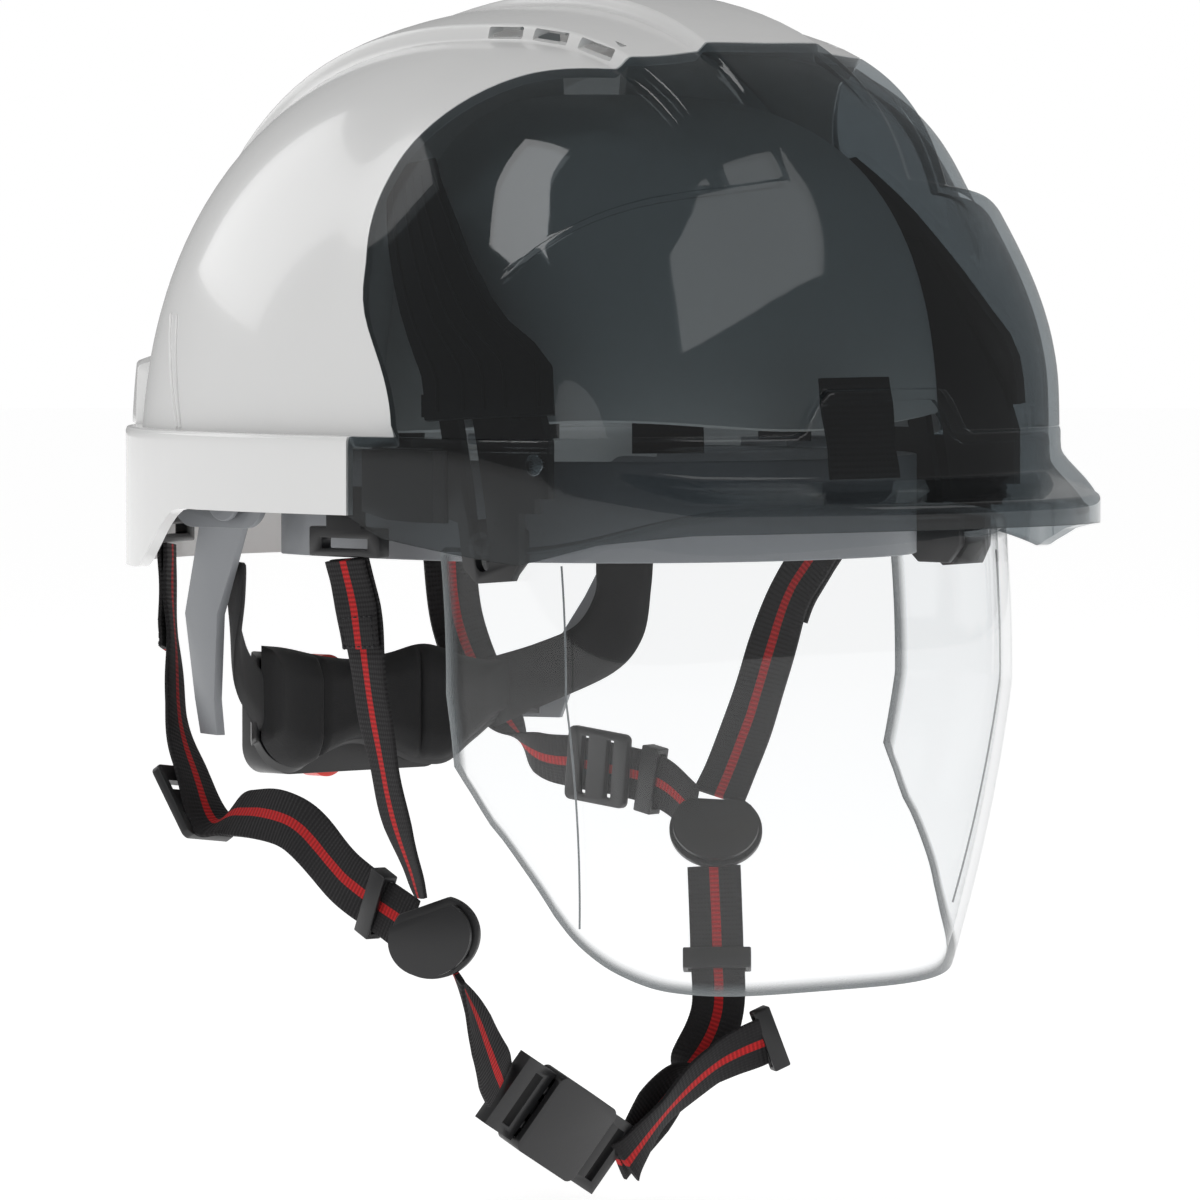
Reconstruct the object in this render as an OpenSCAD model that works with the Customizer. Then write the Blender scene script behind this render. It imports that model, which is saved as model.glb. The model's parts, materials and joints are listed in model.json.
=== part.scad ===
// Vented safety helmet with a retractable clear face shield and a four-point chin strap.
// Millimetres. +Z up, the face looks along -Y, the wearer's right is -X.
// The origin is the head seat, at the height of the side skirt's lower edge.

/* [Shell] */
// Half width of the dome
dome_b = 108; // [106:0.5:109]
// Length of the dome behind the origin
dome_rear = 125; // [122:0.5:127]
// Length of the dome ahead of the origin
dome_front = 104; // [103:0.5:106]
// Height of the dome under its raised crest
dome_top = 133; // [131:0.5:135]
// Wall thickness of shell and window
wall = 3; // [2.6:0.1:3.2]
// Height of the ledge where the dome meets the skirt
ledge_z = 21; // [20:0.5:22]
// Height of the outer crest step
step_h = 4; // [3:0.5:5]
// Height of the inner crest step
crest_h = 3.6; // [2:0.2:4]
// Reach of the peak ahead of the origin
peak_reach = 150; // [146:1:152]
// Reach of the nape ledge behind the origin
nape_reach = 136; // [134:1:137]

/* [Face shield] */
// Half width of the face shield
visor_b = 88; // [87:0.5:88]
// Thickness of the face shield
visor_t = 2.2; // [1.8:0.1:2.4]
// Lowest point of the face shield
visor_low = -129; // [-132:1:-120]

/* [Webbing] */
// Width of the webbing
web_w = 15; // [13:0.5:16]
// Thickness of the webbing
web_t = 1.6; // [1.2:0.1:1.8]

/* [Hidden] */
// Virtual axis that the face shield's tracks turn about
axis_y = 242;
axis_z = -45;
visor_turn = 14;
// Buckle: its middle, its long direction and its flat face
buckle_at = [-13, 0, -170];
buckle_dir = [46, 7, -22];
buckle_face = [-0.5, -0.85, -0.1];
// Nape adjuster
nape_y = 92;
nape_z = -61;
slide_back = 5;
slide_in = 15;
$fn = 48;

function mix(a, b, t) = a + (b - a) * t;
function ease(a, b, x) = let (t = max(0, min(1, (x - a) / (b - a)))) t * t * (3 - 2 * t);
function unit(v) = v / norm(v);
function oval(x, y, n) = pow(pow(abs(x), n) + pow(abs(y), n), 1 / n);

// Radius of the plain dome along a unit direction
function dome_r(d) =
    let (ahead = d[1] < 0)
    let (flat = max(norm([d[0], d[1]]), 1e-6))
    let (rise = asin(d[2]))
    let (a = ahead ? dome_front : dome_rear)
    let (n = ahead ? 2.5 + ease(42, 14, rise) : 2.5)
    let (m = ahead ? 2.4 + 0.6 * ease(0, 0.8, -d[1] / flat) * ease(80, 45, rise) : 2.4)
    pow(pow(oval(d[0] / dome_b, d[1] / a, n), m) + pow(abs(d[2]) / dome_top, m), -1 / m);

// Crest steps, front bulge and rear block, as added radius at side angle s and fore-aft angle p
function crest_edge(p) = mix(10.2, 7.8, ease(45, 85, p));
function bulge_edge(s) = 43.5 + 3 * ease(14, 40, abs(s));
function raised(s, p) =
    let (outer = step_h * ease(21, 17, abs(s)))
    let (inner = crest_h * mix(0.25, 1, ease(45, 75, p)) * ease(2, -2, abs(s) - crest_edge(p)))
    let (bulge = (step_h + 0.9) * ease(2.5, -2.5, p - bulge_edge(s)) * ease(51, 40, abs(s)))
    let (block = 9 * ease(32, 26, abs(s)) * ease(158, 163, p))
    max(outer + inner * ease(112, 84, p), bulge, block);
function on_dome(d, deep) = d * (dome_r(d) + raised(asin(d[0]), atan2(d[2], -d[1])) - deep);
function aim(s, p) = [sin(s), -cos(s) * cos(p), cos(s) * sin(p)];
function arc(a, b, k) =
    let (w = max(acos(min(1, a * b)), 0.01))
    (a * sin((1 - k) * w) + b * sin(k * w)) / sin(w);

// Closed skin from rows of outer points and rows of inner points on the same grid
module skin(outer, inner) {
    rows = len(outer);
    cols = len(outer[0]);
    half = rows * cols;
    points = concat([for (row = outer) each row], [for (row = inner) each row]);
    top = [for (i = [0:rows - 2], j = [0:cols - 2]) let (k = i * cols + j)
        each [[k, k + 1, k + cols], [k + 1, k + cols + 1, k + cols]]];
    under = [for (f = top) [f[0] + half, f[2] + half, f[1] + half]];
    ends = [for (j = [0:cols - 2], i = [0, rows - 1]) let (k = i * cols + j)
        each i == 0 ? [[k + 1, k, k + half], [k + 1, k + half, k + half + 1]]
            : [[k, k + 1, k + half], [k + 1, k + half + 1, k + half]]];
    sides = [for (i = [0:rows - 2], j = [0, cols - 1]) let (k = i * cols + j)
        each j == 0 ? [[k, k + cols, k + half], [k + cols, k + cols + half, k + half]]
            : [[k + cols, k, k + half], [k + cols, k + half, k + cols + half]]];
    polyhedron(points, concat(top, under, ends, sides));
}

// Plan outlines round the helmet at azimuth t, measured from +X
function arch(x) = ease(34, 22, abs(x));
function ledge_r(t) = t > 180 ? 1 / oval(cos(t) / 113, sin(t) / 111, 3.2)
    : 1 / oval(cos(t) / 113, sin(t) / nape_reach, 2.2);
function rim_r(t) = t > 180 ? max(ledge_r(t) + 0.4, 1 / oval(cos(t) / 113, sin(t) / peak_reach, 2.2))
    : ledge_r(t) + 0.4;
function at(t, r, z) = [r * cos(t), r * sin(t), z];
function level_r(t) = dome_r([cos(t) * cos(11), sin(t) * cos(11), sin(11)]) * cos(11);
function ledge_h(t) = ledge_z + (t > 180 ? 12 * arch(ledge_r(t) * cos(t)) : 0);
function root_h(t) = lookup(rim_r(t) * sin(t), [[-150, 9], [-118, 10], [-95, 14], [-60, 20], [-50, 20.2]]);
function edge_h(t) = lookup(rim_r(t) * sin(t), [[-150, 4], [-115, 4], [-95, 9.5], [-58, 19], [-50, 19.8]]);
function hem_h(t) = let (y = rim_r(t) * sin(t)) y > 0 ? -17 * ease(52, 84, y)
    : lookup(y, [[-150, -3], [-115, -4], [-94, -6.6], [-74, -12.3], [-32, -5.7], [-20, 0]]);

// One column of the shell: down the dome from the joint, over the ledge and down the skirt
dome_rows = 13;
function foot_dir(t) = unit([cos(t), sin(t), ledge_h(t) / level_r(t)]);
function column(joint, foot, t, deep) =
    let (base = foot_dir(foot), low = on_dome(base, deep))
    concat([for (k = [0:dome_rows - 1]) on_dome(arc(joint, base, k / dome_rows), deep)], [
        [low[0], low[1], ledge_h(foot) - deep],
        at(t, ledge_r(t) - deep, ledge_h(t) - deep),
        at(t, ledge_r(t) + 0.2 - deep, root_h(t) - deep),
        at(t, rim_r(t) - deep, edge_h(t) - deep),
        at(t, rim_r(t) - deep, hem_h(t))
    ]);
function turned(columns) = [for (i = [0:len(columns[0]) - 1]) [for (c = columns) c[i]]];
module shell_part(joints, feet, turns) skin(
    turned([for (i = [0:len(turns) - 1]) column(joints[i], feet[i], turns[i], 0)]),
    turned([for (i = [0:len(turns) - 1]) column(joints[i], feet[i], turns[i], wall)]));

// Joint between shell and window: the fore-aft angle at each side angle
function joint_p(s) = lookup(abs(s), [[0, 62.5], [7.6, 62.9], [18.3, 64.4], [27.3, 73.4], [42.3, 82.7],
    [54.5, 79.7], [63.4, 68], [70.4, 36]]);
half_joint = [70, 68.6, 66.6, 63.4, 59, 53, 47, 41, 34.5, 28, 23, 18.3, 13, 7.6];
half_front = [190.4, 195, 200, 206, 212, 218, 224, 230, 236, 242, 248, 254, 259.5, 264.8];
half_foot = [197, 199.5, 202.8, 207.4, 212.6, 218, 224, 230, 236, 242, 248, 254, 259.5, 264.8];
half_rear = [190, 184, 177, 169, 161, 153, 145.5, 138, 130.5, 123, 115.5, 109, 103, 96.5];
function both(half, mid, mirror_at) =
    concat(half, [mid], [for (i = [len(half) - 1:-1:0]) mirror_at - half[i]]);
joint_sides = both(-half_joint, 0, 0);
module front_window() color([0.35, 0.4, 0.43, 0.6])
    shell_part([for (s = joint_sides) aim(s, joint_p(s))], both(half_foot, 270, 540),
        both(half_front, 270, 540));
rear_foot = concat([196.6, 186], [for (j = [2:13]) half_rear[j]]);
module outer_shell() color("white") mirror([1, 0, 0]) difference() {
    shell_part([for (s = joint_sides) aim(s, joint_p(s) + 0.25)], both(rear_foot, 90, 180),
        both(half_rear, 90, 180));
    vent_slots();
}
module vent_slots()
    for (side = [-1, 1], y = [-45.4, -27.8, -10.2])
        translate([side * 45, y, 130.4 + y * 0.075]) rotate([-8 + y * 0.22, 0, 0])
            cube([17, 13.5, 4.4], center = true);

// Inner front wall of the helmet: the face shield stows between it and the window
liner_b = 80.5;
liner_front = 82;
liner_top = 112;
function liner_r(d) = pow(pow(oval(d[0] / liner_b, d[1] / liner_front, 3.5),
    3) + pow(abs(d[2]) / liner_top, 3), -1 / 3);
function liner_row(rise, deep) =
    let (edge = [cos(rise), 0, sin(rise)], flange = edge * (dome_r(edge) - wall - 0.5))
    let (back = [0, deep > 0 ? 2.5 : 0, 0])
    concat([[-flange[0], 0, flange[2]] + back],
        [for (t = [180:12:360]) let (d = [cos(t) * cos(rise), sin(t) * cos(rise), sin(rise)])
            d * (liner_r(d) - deep) + (t == 180 || t == 360 ? back : [0, 0, 0])],
        [flange + back]);
module inner_liner() color("whitesmoke") {
    rises = [15, 22, 30, 38, 46, 54, 62, 70, 78, 84];
    skin([for (e = rises) liner_row(e, 0)], [for (e = rises) liner_row(e, 2.5)]);
}

// Track frame beside the face: a skin close behind the window, a flat rail plate and a foot
rail_x = 89;
rail_t = 2.4;
side_x = 106.4;
function swing(y, z, turn) =
    let (dy = y - axis_y, dz = z - axis_z)
    [axis_y + dy * cos(turn) + dz * sin(turn), axis_z - dy * sin(turn) + dz * cos(turn)];
stud_y = -49;
stud_z = -8;
stud_r = 2.4;
rail_outline = [[-22, 20], [-22, 2], [-40, -2], [-42, -14], [-47, -18], [-60, -17], [-63, -12], [-63, 1],
    [-69, 1], [-69, 5], [-74, 5], [-74, 20], [-70, 30], [-60, 44], [-46, 62], [-38, 72], [-20, 74],
        [-18, 60],
    [-30, 38], [-34, 20]];
track_rear = [[11, 21], [18, 20.5], [29, 14], [38, 9], [48.5, 3]];
track_front = [[11, 40], [20, 39.5], [25.5, 32.5], [27.5, 31], [40, 22], [48.5, 14.5]];
module arc_slot(radius, from_y, from_z) {
    steps = [0:1:ceil(visor_turn) + 2];
    path = [for (i = steps) swing(from_y, from_z, min(i, visor_turn + 1.6) - 0.8)];
    for (i = [0:len(path) - 2])
        hull() for (p = [path[i], path[i + 1]]) translate([p[0], p[1]]) circle(radius, $fn = 16);
}
function track_point(e, k, deep) =
    let (t = mix(lookup(e, track_rear), lookup(e, track_front), k))
    let (d = [cos(t) * cos(e), -sin(t) * cos(e), sin(e)])
    d * (dome_r(d) - deep);
module track(side) color([0.05, 0.05, 0.06]) mirror([side > 0 ? 0 : 1, 0, 0]) {
    translate([rail_x, 0, 0]) rotate([90, 0, 90]) linear_extrude(rail_t) difference() {
        polygon(rail_outline);
        arc_slot(stud_r + 0.4, stud_y, stud_z);
    }
    rises = [for (e = [13:2.958:48.5]) e];
    skin([for (e = rises) [for (k = [0:0.2:1]) track_point(e, k, wall + 0.7)]],
        [for (e = rises) [for (k = [0:0.2:1]) track_point(e, k, wall + 2.8)]]);
    translate([side_x, 0, 0]) rotate([90, 0, 90]) linear_extrude(1.6)
        polygon([[-20.5, 17.5], [-52, 17.5], [-52, -1.5], [-40, -1.5], [-30, -1], [-20.5, 1]]);
    translate([rail_x + rail_t - 0.4, -24, 2]) cube([side_x - rail_x - rail_t + 1, 2, 15.5]);
    for (y = [-64, -36]) translate([rail_x + 0.5, y, 26]) cube([y < -50 ? 5.6 : 8.6, 3, 6]);
}
module visor_track_right() track(-1);
module visor_track_left() track(1);

module track_screws() color("dimgray")
    for (side = [-1, 1], p = [[-28, 12], [-70, 14], [-30, 4]])
        translate([side * (rail_x + rail_t), p[0], p[1]]) rotate([0, side * 90, 0]) {
            cylinder(r = 3, h = 1.6);
            translate([0, 0, -1.8]) cylinder(r = 1.4, h = 1.8);
        }

// Face shield: a boxy U in plan, bowed in profile about the track axis
function visor_plan(t, off) =
    let (c = cos(t), s = sin(t))
    [(visor_b - off) * sign(c) * pow(abs(c), 0.5), -30 - (68 - off) * pow(abs(s), 0.5)];
function visor_hem(y) = visor_low + lookup(y, [[-98, 0], [-90, 3], [-80, 9], [-70, 17], [-60, 30],
    [-48, 42],
    [-38, 54], [-30, 64]]);
function visor_taper(z) = 1 - 0.2 * max(0, -48 - z) / visor_b;
function visor_brow(x) = 2 - 12 * pow(abs(x) / visor_b, 4);
function bow(y, z) =
    let (reach = axis_y - y)
    axis_y - sqrt(reach * reach - (z - axis_z) * (z - axis_z));
function visor_point(t, k, off) =
    let (p = visor_plan(t, off))
    let (z = mix(visor_brow(p[0]), visor_hem(p[1]), k))
    [p[0] * visor_taper(z), bow(p[1], z), z];
visor_turns = both([0.05, 0.6, 2, 5, 9, 14, 21, 30, 41, 53, 66, 78], 90, 180);
module visor() color([0.85, 0.9, 0.95, 0.35]) {
    steps = [for (k = [0:0.1:1]) k];
    skin([for (k = steps) [for (t = visor_turns) visor_point(t, k, 0)]],
        [for (k = steps) [for (t = visor_turns) visor_point(t, k, visor_t)]]);
}

// Carriages hold the shield's rear edges and run in the track slots on two studs each
module carriage(side) color([0.05, 0.05, 0.06])
    mirror([side > 0 ? 0 : 1, 0, 0]) {
        translate([visor_b - visor_t - 2.6, 0, 0]) rotate([90, 0, 90]) linear_extrude(2.2)
            polygon([[-38, -2], [-38, -13], [-43, -17], [-54, -17], [-59, -12], [-59, -4], [-55, -1], [-43, -1]]);
        translate([visor_b - visor_t - 0.6, stud_y, stud_z]) rotate([0, 90, 0])
            cylinder(r = stud_r, h = rail_x + rail_t + 0.4 - visor_b + visor_t + 0.6);
    }
module visor_carriage_right() carriage(-1);
module visor_carriage_left() carriage(1);

module visor_bosses() color([0.85, 0.9, 0.95, 0.5])
    for (side = [-1, 1])
        translate([side * (rail_x + rail_t + 0.4), stud_y, stud_z]) rotate([0, side * 90, 0])
            cylinder(r1 = 4, r2 = 3.4, h = 1.2, $fn = 32);

// Head cradle
band_x = 80;
band_front = 88;
function band_at(t, off) = let (r = 1 / oval(cos(t) / band_x, sin(t) / (t > 180 ? band_front : 100),
    2.3) - off)
    [r * cos(t), r * sin(t)];
module band(from, to, out, deep, low, high) {
    turns = [for (i = [0:60]) mix(from, to, i / 60)];
    translate([0, 0, low]) linear_extrude(high - low)
        polygon(concat([for (t = turns) band_at(t, out)], [for (i = [60:-1:0]) band_at(turns[i], deep)]));
}
module headband() color([0.62, 0.63, 0.65]) difference() {
    band(147, 393, 0, 2, -13, 14);
    for (side = [-1, 1], y = [16, 40])
        translate([side * 80, y, 2]) cube([12, 12, 3.5], center = true);
}
module front_sweatband() color([0.75, 0.55, 0.1]) band(222, 318, 2.2, 6.5, -12, 12.5);

module front_strap_tab() color([0.04, 0.04, 0.05])
    skin([for (z = [36, 27, 18, 9]) [for (x = [-13.5, 13.5]) [x, -98.6 - (36 - z) * 0.16, z]]],
        [for (z = [36, 27, 18, 9]) [for (x = [-13.5, 13.5]) [x, -97.2 - (36 - z) * 0.16, z]]]);

module crown(start, mid, width) {
    turns = [for (i = [0:20]) i * 9];
    out = [for (t = turns) [for (w = [-width / 2, width / 2])
        start * cos(t) + [0, 0, 16 + mid * sin(t)] + unit([-start[1], start[0], 0]) * w]];
    skin(out, [for (row = out) [for (p = row) p - unit([p[0], p[1], p[2] * 0.9]) * 1.4]]);
}
module crown_strap_side() color([0.1, 0.1, 0.11]) crown([75.5, 0, 0], 78, 20);
module crown_strap_long() color([0.1, 0.1, 0.11]) {
    crown([38, 66, 0], 74.5, 20);
}
module crown_pad() color([0.12, 0.12, 0.13])
    translate([0, 0, 82]) scale([1, 1, 0.16]) sphere(r = 30, $fn = 36);

// Clips that plug the cradle into the shell under the ledge
module cradle_clips() color([0.62, 0.63, 0.65]) {
    for (side = [-1, 1])
        translate([side * 90.2, 12, 15]) cube([23.5, 18, 3], center = true);
    for (a = [60, 120])
        rotate([0, 0, a]) translate([92.5, 0, 15]) cube([34, 16, 3], center = true);
}
module cradle_studs() color([0.62, 0.63, 0.65])
    for (side = [-1, 1]) translate([side * 77, 56, 2]) rotate([0, side * 90, 0]) {
        cylinder(r = 3, h = 10);
        translate([0, 0, 8.6]) cylinder(r = 6, h = 1.8);
    }

// Nape adjuster, which slides fore and aft on the headband's studs
module nape_arm(side) color([0.5, 0.52, 0.54]) mirror([side > 0 ? 0 : 1, 0, 0]) {
    difference() {
        translate([82.4, 0, 0]) rotate([90, 0, 90]) linear_extrude(2) {
            hull() for (y = [56 - slide_back, 56 + slide_in]) translate([y, 2]) circle(r = 8, $fn = 40);
        }
        translate([70, 0, 0]) rotate([90, 0, 90]) linear_extrude(30)
            hull() for (y = [56 - slide_back - 0.6, 56 + slide_in + 0.6]) translate([y,
                2]) circle(r = 3.4, $fn = 24);
    }
    skin([[[84.4, 50, -4], [84.4, 68, -4]], [[80, 66, -30], [78, 81, -30]], [[70, 78, -54], [66, 90, -54]],
            [[67, 80, -64], [63, 91, -64]]],
        [[[82.4, 50, -4], [82.4, 68, -4]], [[77.8, 65, -30], [75.8, 80, -30]], [[67.8, 77, -54],
            [63.8, 89, -54]],
            [[64.8, 79, -64], [60.8, 90, -64]]]);
}
module nape_arm_right() nape_arm(-1);
module nape_arm_left() nape_arm(1);

function nape_xy(a, off) = let (r = 1 / oval(cos(a) / 64, sin(a) / 42, 2.6) - off) [r * cos(a),
    52 + r * sin(a)];
module nape_band(from, to, out, deep, high, low) {
    turns = [for (i = [0:24]) mix(from, to, i / 24)];
    skin([for (k = [0, 1]) [for (t = turns) concat(nape_xy(t, out), mix(high[0] + high[1] * cos(4 * t),
        low, k))]],
        [for (k = [0, 1]) [for (t = turns) concat(nape_xy(t, deep), mix(high[0] + high[1] * cos(4 * t),
            low, k))]]);
}
module nape_cradle() color([0.06, 0.06, 0.06]) nape_band(24, 156, 0, 2, [-43, 3], -72);
module nape_pad() color([0.03, 0.03, 0.03]) nape_band(32, 148, 2.05, 7, [-42, 3], -73);

module ratchet_housing() color([0.06, 0.06, 0.06]) difference() {
    translate([0, nape_y + 2.1, nape_z - 1]) rotate([-90, 0, 0]) linear_extrude(11)
        offset(r = 8) square([52, 14], center = true);
    translate([0, nape_y + 4.6, nape_z - 1]) rotate([-90, 0, 0]) linear_extrude(6.4)
        square([63, 21], center = true);
    translate([0, nape_y + 3, nape_z - 1]) rotate([-90, 0, 0]) cylinder(r = 8.2, h = 20);
}
module ratchet_knob() color([0.8, 0.07, 0.05])
    translate([0, nape_y + 13.5, nape_z - 1]) rotate([-90, 0, 0]) difference() {
        union() {
            cylinder(r = 15.5, h = 9);
            for (a = [0:45:315]) rotate([0, 0, a]) translate([14, 0, 0]) cylinder(r = 3.2, h = 9);
        }
        translate([0, 0, -1]) cylinder(r = 3.9, h = 8);
    }
module ratchet_pinion() color([0.75, 0.75, 0.72])
    translate([0, nape_y + 4.9, nape_z - 1]) rotate([-90, 0, 0]) {
        cylinder(r = 5.4, h = 5.4);
        cylinder(r = 3.88, h = 15.5);
        for (a = [0:30:330]) rotate([0, 0, a]) translate([5.4, 0, 2.7]) cube([2.4, 1.4, 5.4],
            center = true);
    }
module ratchet_rack() color([0.62, 0.63, 0.65])
    for (s = [-1, 1]) translate([0, nape_y + 7.6, nape_z - 1 + s * 8.6]) {
        cube([44, 4.6, 2], center = true);
        for (x = [-20:4:20]) translate([x, 0, -s * 1.1]) cube([1.6, 4.6, 1], center = true);
    }
module ratchet_pawl() color([0.7, 0.7, 0.7])
    translate([19, nape_y + 5.6, nape_z - 4]) cube([6, 4.4, 6]);

// Anchors that hold the chin strap's upper ends
module anchor(at, turn) color([0.05, 0.05, 0.05]) translate(at) rotate([0, 0, turn]) difference() {
    union() {
        cube([4.4, 27, 8], center = true);
        translate([1.2, 0, 9]) cube([2, 14, 12], center = true);
    }
    translate([0, 0, -0.4]) cube([10, 18, 2.8], center = true);
}
module front_anchor_right() anchor([-94, -1, -8], 180);
module front_anchor_left() anchor([94, 3, -8], 0);
module rear_anchor_right() anchor([-54, 113, -8], 115);
module rear_anchor_left() anchor([54, 113, -8], 65);

// Webbing: each route is a list of points, each with the direction of its width
function web_point(r, i, k) =
    let (a = r[max(i - 1, 0)], b = r[i], c = r[i + 1], d = r[min(i + 2, len(r) - 1)])
    0.5 * (2 * b + (c - a) * k + (2 * a - 5 * b + 4 * c - d) * k * k + (3 * b - 3 * c + d - a) * k * k * k);
module web(places, widths, w = web_w, t = web_t, parts = 4) color([0.05, 0.05, 0.06]) {
    last = len(places) - 1;
    keys = concat([for (i = [0:last - 1], k = [0:parts - 1]) [i, k / parts]], [[last - 1, 1]]);
    mid = [for (q = keys) web_point(places, q[0], q[1])];
    across = [for (q = keys) unit(mix(widths[q[0]], widths[q[0] + 1], q[1]))];
    run = [for (i = [0:len(mid) - 1]) unit(mid[min(i + 1, len(mid) - 1)] - mid[max(i - 1, 0)])];
    side = [for (i = [0:len(mid) - 1]) unit(across[i] - run[i] * (across[i] * run[i]))];
    up = [for (i = [0:len(mid) - 1]) cross(run[i], side[i])];
    skin([for (i = [0:len(mid) - 1]) [mid[i] - side[i] * w / 2 + up[i] * t / 2,
        mid[i] + side[i] * w / 2 + up[i] * t / 2]],
        [for (i = [0:len(mid) - 1]) [mid[i] - side[i] * w / 2 - up[i] * t / 2,
            mid[i] + side[i] * w / 2 - up[i] * t / 2]]);
}

front_right = [[-94, -1, -12.5], [-91, -2, -25], [-89, -3, -40], [-85.5, -3, -60], [-79.5, -5, -85],
    [-75, -9, -104]];
front_right_w = [[0, 1, 0], [0, 1, 0], [0.1, 1, 0], [0.2, 1, 0], [0.3, 1, 0], [0.5, 0.8, 0.1]];
front_left = [[94, 3, -12.5], [91, 12, -26], [87.5, 17, -42], [80, 20, -66], [68, 19, -84]];
front_left_w = [[0, 1, 0], [-0.1, 1, 0], [-0.3, 1, 0], [-0.5, 1, 0], [-0.7, 0.8, 0]];
rear_right = [[-54, 113, -12.5], [-55, 111, -38], [-58, 106, -58], [-62, 96, -74], [-65, 84, -88],
    [-66, 72, -85],
    [-68, 48, -87], [-70, 25, -101], [-72, -1, -112]];
rear_right_w = [[0.8, 0.6, 0], [0.8, 0.6, 0], [0.9, 0.5, 0], [1, 0.3, 0], [1, 0, 0.2], [0.6, 0.2, 0.8],
    [0.3, 0.1, 1], [0.2, -0.2, 1], [0.2, -0.5, 1]];
rear_left = [[54, 113, -12.5], [55, 110, -38], [60, 101, -60], [64.5, 88, -74], [65.5, 72, -76.5],
    [66, 56, -78],
    [67, 41, -81], [66, 27, -88]];
rear_left_w = [[-0.8, 0.6, 0], [-0.8, 0.6, 0], [-0.9, 0.3, 0.2], [-0.4, 0.4, 0.9], [-0.1, 0.2, 1],
    [-0.1, 0.2, 1],
    [-0.1, -0.2, 1], [-0.2, -0.5, 1]];
lower_right = [[-69, -16, -124], [-64, -15, -132], [-56, -12.5, -142], [-47.5, -9, -151.5],
    [-41, -4.3, -156.6]];
lower_right_w = [[0.5, 0.8, 0.1], [0.7, 0.7, 0.4], [0.8, 0.3, 0.6], [0.7, 0, 0.8], [0.42, -0.1, 0.9]];
lower_left = [[61, 14, -103], [57, 9, -125], [52, 4, -143], [42, 3, -156], [27, 4, -169], [13, 3.8, -182]];
lower_left_w = [[-0.7, 0.8, 0], [-0.75, 0.7, 0], [-0.8, 0.5, 0.1], [-0.7, 0.2, -0.6], [-0.4, 0, -0.9],
    [-0.42, 0.1, -0.9]];
tail = [[12, 0.2, -182], [27, -2, -167], [41, -6, -156], [54, -12, -150]];
tail_w = [[-0.42, 0.1, -0.9], [-0.4, 0.4, -0.9], [-0.2, 0.5, -0.9], [-0.1, 0.4, -0.9]];
module front_strap_right() web(front_right, front_right_w);
module front_strap_left() web(front_left, front_left_w);
module rear_strap_right() web(rear_right, rear_right_w);
module rear_strap_left() web(rear_left, rear_left_w);
module lower_strap_right() web(lower_right, lower_right_w);
module lower_strap_left() web(lower_left, lower_left_w);
module tail_strap() web(tail, tail_w);

// Places children on a plane: x runs along dir, z along face
module on_plane(at, dir, face) {
    x = unit(dir);
    z = unit(face - x * (face * x));
    y = cross(z, x);
    multmatrix([[x[0], y[0], z[0], at[0]], [x[1], y[1], z[1], at[1]], [x[2], y[2], z[2], at[2]],
        [0, 0, 0, 1]])
        children();
}

// Two-leaf clip where front and rear strap meet the lower strap: x runs down the strap
module d_plate(grow) intersection() {
    scale([0.85, 1]) circle(r = 13 + grow, $fn = 40);
    translate([-9 - grow, -20]) square([40, 40]);
}
module y_body() color([0.07, 0.07, 0.08]) difference() {
    linear_extrude(2.2) d_plate(0);
    translate([-6, -8.2, -1]) cube([2.6, 16.4, 5]);
    translate([4.6, -7.6, -1]) cube([2.4, 15.2, 5]);
}
module y_leaf() color([0.07, 0.07, 0.08]) {
    translate([0, 0, 4.3]) linear_extrude(1.8) intersection() {
        d_plate(-1);
        translate([-6.4, -20]) square([40, 40]);
    }
    translate([-4.8, 9.6, 4.3]) rotate([90, 0, 0]) cylinder(r = 1.6, h = 19.2);
}
right_clip = [-72.6, -12.6, -114.5];
right_clip_dir = [3, -6, -19];
right_clip_face = [-1, -0.45, 0];
left_clip = [64.6, 16.8, -93.6];
left_clip_dir = [-7, -5, -19];
left_clip_face = [-0.75, -0.7, 0.3];
module y_clip_right() on_plane(right_clip, right_clip_dir, right_clip_face) y_body();
module y_leaf_right() on_plane(right_clip, right_clip_dir, right_clip_face) y_leaf();
module y_clip_left() on_plane(left_clip, left_clip_dir, left_clip_face) y_body();
module y_leaf_left() on_plane(left_clip, left_clip_dir, left_clip_face) y_leaf();

// Ladder adjusters low on the rear straps
module ladder() color([0.07, 0.07, 0.08]) translate([0, 0, 1]) difference() {
    linear_extrude(2.6) offset(r = 2) square([19, 17], center = true);
    for (x = [-6.4, 3.4]) translate([x, -8.2, -1]) cube([3, 16.4, 6]);
}
module rear_adjuster_right() on_plane([-64, 90.5, -82], [0.2, -10, -14], [-0.2, 0.8, -0.6]) ladder();
module rear_adjuster_left() on_plane([65.5, 62, -77.2], [0.3, -16, -1.6], [-1, 0, 0]) ladder();

module keeper() color([0.06, 0.06, 0.06]) difference() {
    cube([6, 19, 5], center = true);
    cube([8, 16, 2.4], center = true);
}
module strap_keepers() {
    on_plane([-71.2, 12.6, -106.8], [-2, -24, -11], [-1, 0.1, 0]) keeper();
    on_plane([56.2, 8.1, -128.5], [-5, -5, -18], [-0.75, -0.7, 0.3]) keeper();
    on_plane([66.8, 44.5, -80.2], [1, -15, -3], [-1, 0, 0]) keeper();
}

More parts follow.
